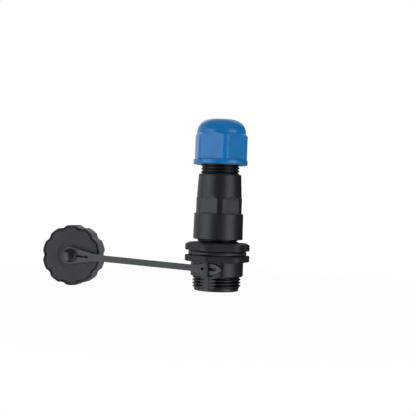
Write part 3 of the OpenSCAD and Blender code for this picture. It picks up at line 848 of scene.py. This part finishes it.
def add_loop(shell):
    """Joins the loop to the shell: a plate on edge that stands on the flat, with a slot for the strap."""
    high = -FLANGE_T + SOFT_EDGE
    root = FLAT_R - LOOP_ROOT
    corner = [(BAR_OUT - LOOP_CORNER, COLLAR_Z), (BAR_OUT - LOOP_CORNER_CUT, COLLAR_Z + LOOP_CORNER_CUT),
              (BAR_OUT, COLLAR_Z + LOOP_CORNER)]
    outside = [(root, COLLAR_Z)] + corner + [(BAR_OUT, high), (root, high)]
    slot_low = LOOP_Z - SLOT_H / 2
    slot_high = LOOP_Z + SLOT_H / 2
    slot = [(FLAT_R, slot_low), (FLAT_R, slot_high), (BAR_IN, slot_high), (BAR_IN, slot_low)]
    loop = plate_mesh("strap_loop", [outside, slot], BAR_W, LOOP_ROUND)
    up = Vector((0.0, 0.0, 1.0))
    loop.transform(Matrix((LOOP_OUT, up, LOOP_OUT.cross(up))).transposed().to_4x4())
    work = bmesh.new()
    work.from_mesh(shell)
    work.from_mesh(loop)
    work.to_mesh(shell)
    work.free()


def add_shell():
    """Socket shell with its loop, a more matt flange and painted shade in the grooves of its two threads."""
    mesh = turned_mesh("socket_shell_moulding", shell_rings())
    add_loop(mesh)
    piece = add_piece("socket_shell_moulding", mesh, "connector", ["socket_shell"], "black_plastic")
    flange_r = HEX_HALF - FLANGE_MARK_W
    flange_z = -FLANGE_T - FLANGE_MARK_SLACK
    mark_points(piece, "matt", lambda radius, height: radius > flange_r and height > flange_z)
    mating_thread = (MATING_R, MATING_DEPTH, MATING_Z + MATING_ENTRY, COLLAR_Z)
    panel_thread = (PANEL_R, PANEL_DEPTH, 0.0, NECK_TOP_Z)
    mark_groove_shade(piece, [mating_thread, panel_thread])


# Panel gasket and panel nut

def gasket_rings():
    """Rings of the panel gasket."""
    rings = lower_edge(GASKET_R, 0.0, GASKET_ROUND, steps=6)[:-1]
    rings += upper_edge(GASKET_R, GASKET_TOP_Z, GASKET_ROUND, steps=6)[1:]
    return rings + [ring(SKIRT_BORE_R, GASKET_TOP_Z), ring(SKIRT_BORE_R, 0.0)]


def add_gasket():
    """Panel gasket of rubber."""
    mesh = turned_mesh("panel_gasket_ring", gasket_rings())
    add_piece("panel_gasket_ring", mesh, "connector", ["panel_gasket"], "seal_rubber")


def panel_nut_rings():
    """Rings of the panel nut: a hexagon with blunted corners and a chamfer on its upper side."""
    hexagon = hexagon_radius()
    face_r = HEX_HALF - NUT_FACE_INSET
    slope = tan(radians(NUT_CHAMFER_ANGLE))
    chamfer_z = PANEL_NUT_TOP_Z - (hexagon - face_r) * slope
    soft = np.minimum(NUT_CHAMFER_SOFT, NUT_CHAMFER_SOFT_SHARE * (hexagon - face_r))
    rings = lower_edge(hexagon, PANEL_NUT_Z, SOFT_EDGE)
    rings += [ring(hexagon, chamfer_z - NUT_CHAMFER_DROP), ring(hexagon - NUT_CHAMFER_INSET, chamfer_z)]
    rings += [ring(hexagon - soft, chamfer_z + soft * slope - NUT_CHAMFER_SAG)]
    rings += [ring(face_r + soft, PANEL_NUT_TOP_Z - soft * slope)]
    rings += [ring(face_r - NUT_FACE_EASE, PANEL_NUT_TOP_Z), ring(NUT_BORE_R + NUT_LEAD_W, PANEL_NUT_TOP_Z)]
    rings += [ring(NUT_BORE_R, PANEL_NUT_TOP_Z - NUT_LEAD_H), ring(NUT_BORE_R, PANEL_NUT_Z + NUT_LEAD_H)]
    return rings + [ring(NUT_BORE_R + NUT_LEAD_W, PANEL_NUT_Z)]


def add_panel_nut():
    """Panel nut, more matt than the shell."""
    mesh = turned_mesh("panel_nut_hexagon", panel_nut_rings())
    piece = add_piece("panel_nut_hexagon", mesh, "panel_nut", ["panel_nut"], "black_plastic")
    mark_points(piece, "matt", lambda radius, height: True)


# Back shell

def grip_radius(height):
    """Radius of the gripping part at one height, with its four flats that lean out into arches."""
    flat_top = GRIP_TOP_Z - ARCH_RISE
    lean = (TAPER_LOW_R - GRIP_HALF) / ARCH_RISE
    half = GRIP_HALF + lean * max(height - flat_top, 0.0)
    band_z = flat_top + GRIP_BAND / 2
    share = np.clip((height - band_z) / (GRIP_BAND / 2), 0.0, 1.0)
    taper = (TAPER_LOW_R - TAPER_TOP_R) * max(height - GRIP_TOP_Z, 0.0) / (SHOULDER_Z - GRIP_TOP_Z)
    body = GRIP_R + (TAPER_LOW_R - GRIP_R) * smooth_step(share) - taper
    sides = [-90.0 + GRIP_TURN + sign * FLAT_SPREAD / 2 + back for sign in (-1, 1) for back in (0, 180)]
    flats = np.minimum.reduce([flat_radius(half, side) for side in sides])
    return smooth_min(flats, body, GRIP_BLEND)


def grip_rings():
    """Rings of the gripping part, closer together where its flats lean out."""
    arch_z = GRIP_TOP_Z - ARCH_RISE
    straight = np.linspace(LEDGE_Z, arch_z - ARCH_LEAD, GRIP_STEPS)
    arched = np.linspace(arch_z, GRIP_TOP_Z + ARCH_OVER, ARCH_STEPS)
    return [ring(grip_radius(height), height) for height in (*straight, *arched)]


def back_bore_rings():
    """Rings of the back shell's bore, from the gland's end down to the mouth of the skirt."""
    passage_z = SEAL_Z - PASSAGE_LEN
    rings = [ring(POCKET_R, GLAND_END_Z), ring(POCKET_R, SEAL_Z)]
    rings += [ring(PASSAGE_R, SEAL_Z), ring(PASSAGE_R, passage_z)]
    rings += [ring(NECK_BORE_R, passage_z - NECK_BORE_R + PASSAGE_R), ring(NECK_BORE_R, SEAL_SEAT_Z)]
    rings += [ring(SKIRT_BORE_R, SEAL_SEAT_Z), ring(SKIRT_BORE_R, SKIRT_Z + SOFT_EDGE)]
    return rings + [ring(SKIRT_BORE_R + SOFT_EDGE, SKIRT_Z)]


def back_shell_rings():
    """Rings of the back shell, from the mouth of the skirt up the outside and back down the bore."""
    rings = lower_edge(SKIRT_R, SKIRT_Z, SOFT_EDGE)
    rings += upper_edge(SKIRT_R - SKIRT_DRAFT, LEDGE_Z, SOFT_EDGE)
    rings += grip_rings()
    rings += upper_edge(TAPER_TOP_R, SHOULDER_Z, TAPER_EDGE)
    rings += [ring(GLAND_R, SHOULDER_Z)]
    rings += helix(GLAND_R, GLAND_DEPTH, SHOULDER_Z + GLAND_FOOT, GLAND_END_Z - THREAD_RUNOUT)
    rings += [ring(GLAND_R - GLAND_DEPTH, GLAND_END_Z)]
    return rings + back_bore_rings()


def add_back_shell():
    """Back shell, with painted shade in the grooves of its gland thread."""
    mesh = turned_mesh("back_shell_sleeve", back_shell_rings())
    piece = add_piece("back_shell_sleeve", mesh, "connector", ["back_shell"], "black_plastic")
    mark_groove_shade(piece, [(GLAND_R, GLAND_DEPTH, SHOULDER_Z, GLAND_END_Z)])


# Gland nut

def gland_outside_rings():
    """Rings of the gland nut's outside: rim, hexagon, flare and dome."""
    rim_top = GLAND_NUT_Z + GLAND_RIM_T
    dome_z = GLAND_TOP_Z - DOME_ROUND
    foot_z = dome_z - DOME_FOOT
    flare_z = foot_z - DOME_FLARE * (GLAND_CORNER_R - DOME_R)
    flats = hexagon_flats(GLAND_HALF, -90.0 + GLAND_TURN, GLAND_FLATS_BLEND)
    facet = smooth_min(flats, GLAND_CORNER_R, GLAND_CORNER_BLEND)
    rings = lower_edge(GLAND_RIM_R, GLAND_NUT_Z, GLAND_RIM_LOW_ROUND, steps=6)
    rings += upper_edge(GLAND_RIM_R, rim_top, GLAND_RIM_TOP_ROUND, steps=5)
    rings += [ring(facet, rim_top + rise) for rise in GLAND_FACET_RISES]
    rings += [ring(facet, flare_z - GLAND_FACET_DROP)]
    for height in np.linspace(flare_z - FLARE_LEAD, dome_z, FLARE_STEPS):
        envelope = min(GLAND_CORNER_R, DOME_R + max(foot_z - height, 0.0) / DOME_FLARE)
        rings.append(ring(smooth_min(flats, envelope, GLAND_CORNER_BLEND), height))
    for turn in np.radians(np.linspace(0.0, 90.0, DOME_STEPS + 1)[1:]):
        rings.append(ring(DOME_R - DOME_ROUND * (1 - cos(turn)), dome_z + DOME_ROUND * sin(turn)))
    return rings


def gland_bore_rings():
    """Rings of the gland nut's bore, from the cable's hole down to the mouth."""
    lip_top = GLAND_LIP_Z + GLAND_LIP_H
    rings = [ring(GLAND_HOLE_R, GLAND_TOP_Z - drop) for drop in (GLAND_HOLE_CHAMFER, GLAND_LAND)]
    rings += [ring(GLAND_CONE_R, lip_top + GLAND_GROOVE_H), ring(GLAND_CONE_R, lip_top)]
    rings += [ring(GLAND_LIP_R, lip_top), ring(GLAND_LIP_R, GLAND_LIP_Z)]
    rings += [ring(GLAND_BORE_R, GLAND_LIP_Z), ring(GLAND_BORE_R, GLAND_NUT_Z + GLAND_MOUTH)]
    return rings + [ring(GLAND_BORE_R + GLAND_MOUTH, GLAND_NUT_Z)]


def add_gland_nut():
    """Blue gland nut."""
    mesh = turned_mesh("gland_nut_dome", gland_outside_rings() + gland_bore_rings())
    add_piece("gland_nut_dome", mesh, "gland_nut", ["gland_nut"], "blue_plastic")


# Cap, turned in its own frame with the middle of its face at the origin

def stud_rings():
    """Rings of the stud, from the top of its round head down to the recess in the cap's face."""
    dome_h = STUD_HEAD_H - STUD_SIDE_H
    ball_r = (STUD_HEAD_R ** 2 + dome_h ** 2) / (2 * dome_h)
    side_top = STUD_NECK_H + STUD_SIDE_H
    rings = []
    for radius in np.linspace(0.0, STUD_HEAD_R - STUD_SOFT, STUD_HEAD_STEPS):
        rings.append(ring(radius, side_top + dome_h - ball_r + sqrt(ball_r ** 2 - radius ** 2)))
    rings += [ring(STUD_HEAD_R - STUD_EASE, side_top - STUD_EASE), ring(STUD_HEAD_R, side_top - STUD_SOFT)]
    rings += [ring(STUD_HEAD_R, STUD_NECK_H + STUD_FOOT_SOFT)]
    rings += [ring(STUD_HEAD_R - STUD_FOOT_SOFT, STUD_NECK_H)]
    return rings + [ring(STUD_NECK_R, STUD_NECK_H), ring(STUD_NECK_R, -CAP_RECESS_DEPTH)]


def scallop_radius():
    """Outside radius of the cap, with round scallops in its wall."""
    centre = CAP_R - SCALLOP_DEPTH + SCALLOP_R
    step = 360.0 / SCALLOPS
    off = np.radians((AROUND - CAP_TURN + step / 2) % step - step / 2)
    inside = np.maximum(SCALLOP_R ** 2 - (centre * np.sin(off)) ** 2, 0.0)
    scallop = np.where(inside > 0.0, centre * np.cos(off) - np.sqrt(inside), 2 * CAP_R)
    return smooth_min(scallop, CAP_R, SCALLOP_BLEND)


def cap_face_rings():
    """Rings of the cap's face, from the edge of its recess outwards."""
    rings = []
    for share in np.linspace(0.0, 1.0, CAP_RECESS_STEPS):
        radius = CAP_RECESS_R + CAP_RECESS_EDGE * (share - 0.5)
        rings.append(ring(radius, -CAP_RECESS_DEPTH * (1 - smooth_step(share))))
    return rings + [ring(radius, 0.0) for radius in CAP_FACE_RINGS]


def cap_wall_rings():
    """Rings of the narrow groove round the cap's edge and of the scalloped wall, from above."""
    wall = scallop_radius()
    land = wall - CAP_ROUND
    rings = [ring(land - CAP_GROOVE_W, 0.0), ring(land - CAP_GROOVE_W * 2 / 3, -CAP_GROOVE_DEPTH)]
    rings += [ring(land - CAP_GROOVE_W / 3, -CAP_GROOVE_DEPTH)]
    rings += list(reversed(upper_edge(wall, 0.0, CAP_ROUND, steps=6)))
    return rings + list(reversed(lower_edge(wall, -CAP_H, CAP_ROUND)))


def cup_rings():
    """Rings of the inside of the cap, from its mouth up the inner thread to the seat of its seal."""
    seat_z = -CAP_PLATE - CAP_SEAT_T
    thread_z = CAP_THREAD_FOOT - CAP_H
    rings = [ring(CAP_BORE_R + CAP_MOUTH, -CAP_H), ring(CAP_BORE_R, CAP_MOUTH - CAP_H)]
    rings += helix(CAP_BORE_R, CAP_THREAD_DEPTH, thread_z, seat_z - CAP_THREAD_RUNOUT, inward=True)
    rings += [ring(CAP_BORE_R, seat_z), ring(CAP_SEAT_R, seat_z)]
    return rings + [ring(CAP_SEAT_R, -CAP_PLATE), ring(0.0, -CAP_PLATE)]


def cap_matrix():
    """Frame of the cap: the middle of its face and its outward axis from the joint, X along the strap."""
    out = Vector(JOINTS["cap_spin"]["axis"]).normalized()
    along = Vector((cos(radians(STRAP_TURN)), -sin(radians(STRAP_TURN)), -tan(radians(STRAP_LEAN))))
    along = (along - out * along.dot(out)).normalized()
    across = out.cross(along)
    turn = Matrix((along, across, out)).transposed().to_4x4()
    return Matrix.Translation(Vector(JOINTS["cap_spin"]["pos_m"])) @ turn


def add_cap():
    """Cap, with its wall painted lighter for the light that it reflects, and a polished stud."""
    rings = stud_rings() + cap_face_rings() + cap_wall_rings() + cup_rings()
    mesh = turned_mesh("cap_scalloped", rings, closed=False)
    mesh.transform(cap_matrix())
    piece = add_piece("cap_scalloped", mesh, "cap", ["cap"], "cap_plastic")
    upright = cap_matrix().inverted()
    # Painted light: the scalloped wall is painted lighter than the face for the light that it reflects.
    wall_r = CAP_R - SCALLOP_DEPTH - CAP_MARK_SLACK
    wall_z = -CAP_ROUND / 2
    mark_points(piece, "painted_wall_light", lambda radius, height: radius > wall_r and height < wall_z, upright)
    stud_r = STUD_HEAD_R + CAP_MARK_SLACK
    stud_z = CAP_MARK_SLACK
    mark_points(piece, "polished", lambda radius, height: radius < stud_r and height > stud_z, upright)


# Strap: drawn flat as an outline with its slits, then bent beside the loop

def arc(centre, radius, start, end, steps):
    """Points of an arc, with angles in degrees."""
    turns = np.radians(np.linspace(start, end, steps + 1))
    return [(centre[0] + radius * cos(turn), centre[1] + radius * sin(turn)) for turn in turns]


def along_line(start, end, spacing):
    """Points from start up to, not with, end."""
    count = max(int(np.hypot(end[0] - start[0], end[1] - start[1]) / spacing), 1)
    shares = [step / count for step in range(count)]
    return [(start[0] + (end[0] - start[0]) * s, start[1] + (end[1] - start[1]) * s) for s in shares]


def spaced(points, spacing):
    """The same closed outline with more points along its long sides, about spacing apart."""
    closed = points + points[:1]
    return [point for start, end in zip(closed, closed[1:]) for point in along_line(start, end, spacing)]


def leaned(points):
    """Points of the band, drawn from the bend, put into the tongue's plane with the band's lean."""
    lean = radians(STRAP_LEAN)
    return [(BEND_X + x * cos(lean) + z * sin(lean), z * cos(lean) - x * sin(lean)) for x, z in points]


def mirrored(points):
    """The same points below the middle line, in the opposite order."""
    return [(x, -z) for x, z in reversed(points)]


def barb_curve():
    """Upper edge of the barb, from its tip back to its widest place."""
    rise = (BARB_H - BARB_TIP_H) / 2
    arc_r = (BARB_LEN ** 2 + rise ** 2) / (2 * rise)
    points = [(BARB_X + BARB_LEN, BARB_TIP_H / 2 - BARB_TIP_CUT)]
    for share in np.linspace(1.0, 0.0, BARB_STEPS):
        x = BARB_LEN * share
        points.append((BARB_X + x, BARB_H / 2 - arc_r + sqrt(arc_r ** 2 - x ** 2)))
    return points


def strap_outline():
    """Outer outline of the strap: its upper half from the barb to the eye, and its lower half back."""
    tongue = barb_curve() + [(BARB_X, NECK_H / 2), (-BARB_X, NECK_H / 2), (-BARB_X, HEAD_H / 2)]
    bend_h = HEAD_H - (HEAD_H - STRAP_W) * BEND_LEN / HEAD_LEN
    tail_x = EYE_TAIL - STRAP_LEN
    band = [(0.0, bend_h / 2), (BEND_LEN - HEAD_LEN, STRAP_W / 2)]
    band += [(tail_x + EYE_NECK_LEN, STRAP_W / 2), (tail_x, EYE_TAIL_W / 2)]
    eye = arc((-STRAP_LEN, 0.0), EYE_R, EYE_OPENING, 360.0 - EYE_OPENING, steps=36)
    return tongue + leaned(band + eye + mirrored(band)) + mirrored(tongue)


def barb_slit():
    """Slit of the barb, which lets it be squeezed through the loop."""
    start = arc((-BARB_X - SLIT_START, 0.0), SLIT_START_R, 90.0, 270.0, steps=10)
    return start + arc((SLIT_END, 0.0), SLIT_END_R, -90.0, 90.0, steps=12)


def eye_slit():
    """Hole of the eye with its slit, which lets it snap over the stud's head."""
    half = degrees_of(EYE_SLIT_HALF / EYE_HOLE_R)
    hole = arc((-STRAP_LEN, 0.0), EYE_HOLE_R, half, 360.0 - half, steps=40)
    end_half = degrees_of(EYE_SLIT_HALF / EYE_SLIT_END_R)
    end_x = EYE_SLIT_LEN - STRAP_LEN
    end = arc((end_x, 0.0), EYE_SLIT_END_R, -180.0 + end_half, 180.0 - end_half, steps=14)
    return leaned(hole + end)


def cut_across(mesh, places):
    """Cuts a flat plate across X at each place, so that its faces are short enough to bend."""
    work = bmesh.new()
    work.from_mesh(mesh)
    for place in places:
        everything = work.verts[:] + work.edges[:] + work.faces[:]
        middle = (place * MM, 0.0, 0.0)
        bmesh.ops.bisect_plane(work, geom=everything, plane_co=middle, plane_no=(1.0, 0.0, 0.0))
    work.to_mesh(mesh)
    work.free()


def strap_path():
    """Places along the strap, the heading in radians at each, and the path's x and y seen from above."""
    places = np.linspace(PATH_START, PATH_END, PATH_POINTS)
    share = np.clip((BEND_X + BEND_SPREAD - places) / (2 * BEND_SPREAD), 0.0, 1.0)
    heading = radians(LOOP_TURN - STRAP_TURN) * smooth_step(share)
    step = places[1] - places[0]
    path_x = np.cumsum(np.cos(heading)) * step
    path_y = np.cumsum(np.sin(heading)) * step
    path_x -= np.interp(PATH_FIXED, places, path_x) - PATH_FIXED
    path_y -= np.interp(PATH_FIXED, places, path_y)
    return places, heading, path_x, path_y


def tongue_matrix():
    """Frame of the strap's tongue in millimetres: under the loop's bar, -Y out."""
    return Matrix.Rotation(radians(-LOOP_TURN), 4, "Z") @ Matrix.Translation((0.0, -STRAP_Y, LOOP_Z))


def bend_strap(mesh):
    """Turns the flat plate into the strap: upright, bent beside the loop, and set on the flat."""
    places, heading, path_x, path_y = strap_path()
    tongue = tongue_matrix()
    for vertex in mesh.vertices:
        x, z, y = vertex.co / MM
        turn = float(np.interp(x, places, heading))
        bent_x = float(np.interp(x, places, path_x)) + y * sin(turn)
        bent_y = float(np.interp(x, places, path_y)) - y * cos(turn)
        vertex.co = tongue @ Vector((bent_x, bent_y, z)) * MM


def add_strap():
    """Tether strap, drawn flat and bent beside the loop."""
    outlines = [spaced(strap_outline(), STRAP_SPACING), barb_slit(), eye_slit()]
    mesh = plate_mesh("tether_strap_moulding", outlines, STRAP_T, STRAP_ROUND)
    cut_across(mesh, np.arange(-STRAP_LEN, -STRAP_FLEX, STRAP_STEP))
    cut_across(mesh, np.arange(-STRAP_FLEX, BARB_X, STRAP_FLEX_STEP))
    bend_strap(mesh)
    piece = add_piece("tether_strap_moulding", mesh, None, ["tether_strap"], "strap_plastic")
    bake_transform(piece)


def dress_nodes():
    """Gives the CAD nodes that stay their own finishes."""
    slots = {part["node"]: part["material_slot"] for part in frame["record"]["subparts"]}
    for name, node in frame["nodes"].items():
        node.data.materials.clear()
        node.data.materials.append(MATERIALS[slots[name]])


# Studio

def add_camera(scene):
    """Camera that looks along +Y, with the photo's slight roll."""
    camera = bpy.data.cameras.new("camera")
    camera.sensor_width = CAMERA_SENSOR
    camera.lens = CAMERA_SENSOR * CAMERA_DISTANCE / (IMAGE * PIXEL)
    camera.clip_start = CAMERA_CLIP * MM
    holder = bpy.data.objects.new("camera", camera)
    scene.collection.objects.link(holder)
    holder.rotation_mode = "QUATERNION"
    holder.location = Vector((CAMERA_X, -CAMERA_DISTANCE, CAMERA_Z)) * MM
    forward = Vector((0.0, 1.0, 0.0)).to_track_quat("-Z", "Y")
    holder.rotation_quaternion = forward @ Matrix.Rotation(radians(CAMERA_ROLL), 3, "Z").to_quaternion()
    scene.camera = holder


def floor_material():
    """Floor that shows almost white to the camera, keeps a soft shadow and is clear from below."""
    material = bpy.data.materials.new("floor_white")
    material.use_nodes = True
    tree = material.node_tree
    shader = tree.nodes["Principled BSDF"]
    feed(tree, shader.inputs["Base Color"], FLOOR_COLOUR)
    feed(tree, shader.inputs["Roughness"], FLOOR_ROUGHNESS)
    surface = tree.nodes.new("ShaderNodeNewGeometry")
    away = tree.nodes.new("ShaderNodeVectorMath")
    away.operation = "LENGTH"
    feed(tree, away.inputs[0], surface.outputs["Position"])
    white = range_node(tree, away.outputs["Value"], (FLOOR_NEAR * MM, FLOOR_FAR * MM), FLOOR_WHITE_SHARE)
    to_camera = tree.nodes.new("ShaderNodeLightPath").outputs["Is Camera Ray"]
    glow = tree.nodes.new("ShaderNodeEmission")
    share = math_node(tree, "MULTIPLY", to_camera, white)
    upper = mix_shader(tree, share, shader.outputs["BSDF"], glow.outputs["Emission"])
    clear = tree.nodes.new("ShaderNodeBsdfTransparent")
    both_sides = mix_shader(tree, surface.outputs["Backfacing"], upper, clear.outputs["BSDF"])
    feed(tree, tree.nodes["Material Output"].inputs["Surface"], both_sides)
    return material


def add_floor(scene):
    """Wide pale floor just under the object."""
    mesh = bpy.data.meshes.new("floor")
    half = FLOOR_HALF * MM
    height = cad_box[0][2] - FLOOR_DROP * MM
    corners = [(-half, -half, height), (half, -half, height), (half, half, height), (-half, half, height)]
    mesh.from_pydata(corners, [], [(0, 1, 2, 3)])
    mesh.materials.append(floor_material())
    floor = bpy.data.objects.new("floor", mesh)
    scene.collection.objects.link(floor)
    floor.visible_glossy = False
    floor.visible_shadow = False


def room_glow(tree):
    """Strength of the room in reflections: a bright side, a glow from above, and dim elsewhere."""
    direction = tree.nodes.new("ShaderNodeTexCoord").outputs["Generated"]
    side = tree.nodes.new("ShaderNodeVectorMath")
    side.operation = "DOT_PRODUCT"
    feed(tree, side.inputs[0], direction)
    side.inputs[1].default_value = ROOM_BRIGHT_SIDE
    above = tree.nodes.new("ShaderNodeSeparateXYZ")
    feed(tree, above.inputs["Vector"], direction)
    side_glow = range_node(tree, side.outputs["Value"], ROOM_SIDE_RANGE, ROOM_SIDE_GLOW)
    top_glow = range_node(tree, above.outputs["Z"], ROOM_TOP_RANGE, ROOM_TOP_GLOW)
    return math_node(tree, "MAXIMUM", side_glow, top_glow)


def add_world(scene):
    """Room that is white to the camera, glows in reflections and gives a weaker even fill light."""
    world = bpy.data.worlds.new("white_room")
    scene.world = world
    world.use_nodes = True
    tree = world.node_tree
    path = tree.nodes.new("ShaderNodeLightPath").outputs
    reflected = math_node(tree, "MAXIMUM", path["Is Glossy Ray"], path["Is Transmission Ray"])
    strength = mix_node(tree, "FLOAT", reflected, ROOM_FILL, room_glow(tree))
    strength = mix_node(tree, "FLOAT", path["Is Camera Ray"], strength, 1.0)
    background = tree.nodes["Background"]
    feed(tree, background.inputs["Color"], WHITE)
    feed(tree, background.inputs["Strength"], strength)


def add_soft_box(scene, name, direction, size, watts):
    """Soft box that faces the object from one direction."""
    light = bpy.data.lights.new(name, "AREA")
    light.shape = "RECTANGLE"
    light.size = size[0] * MM
    light.size_y = size[1] * MM
    light.energy = watts
    light.color = SOFT_BOX_COLOUR
    holder = bpy.data.objects.new(name, light)
    scene.collection.objects.link(holder)
    turn, rise = (radians(angle) for angle in direction)
    away = Vector((sin(turn) * cos(rise), -cos(turn) * cos(rise), sin(rise)))
    holder.location = (Vector(SOFT_BOX_AIM) + away * SOFT_BOX_DISTANCE) * MM
    holder.rotation_mode = "QUATERNION"
    holder.rotation_quaternion = (-away).to_track_quat("-Z", "Y")


def build_studio():
    """Camera at the photo's angle, pale floor, white room and soft boxes."""
    scene = bpy.context.scene
    scene.view_settings.view_transform = "Standard"
    add_camera(scene)
    add_floor(scene)
    add_world(scene)
    for name, (direction, size, watts) in SOFT_BOXES.items():
        add_soft_box(scene, name, direction, size, watts)


def main():
    """Builds every piece, then the studio."""
    add_shell()
    add_gasket()
    add_panel_nut()
    add_back_shell()
    add_gland_nut()
    add_cap()
    add_strap()
    dress_nodes()
    build_studio()


main()
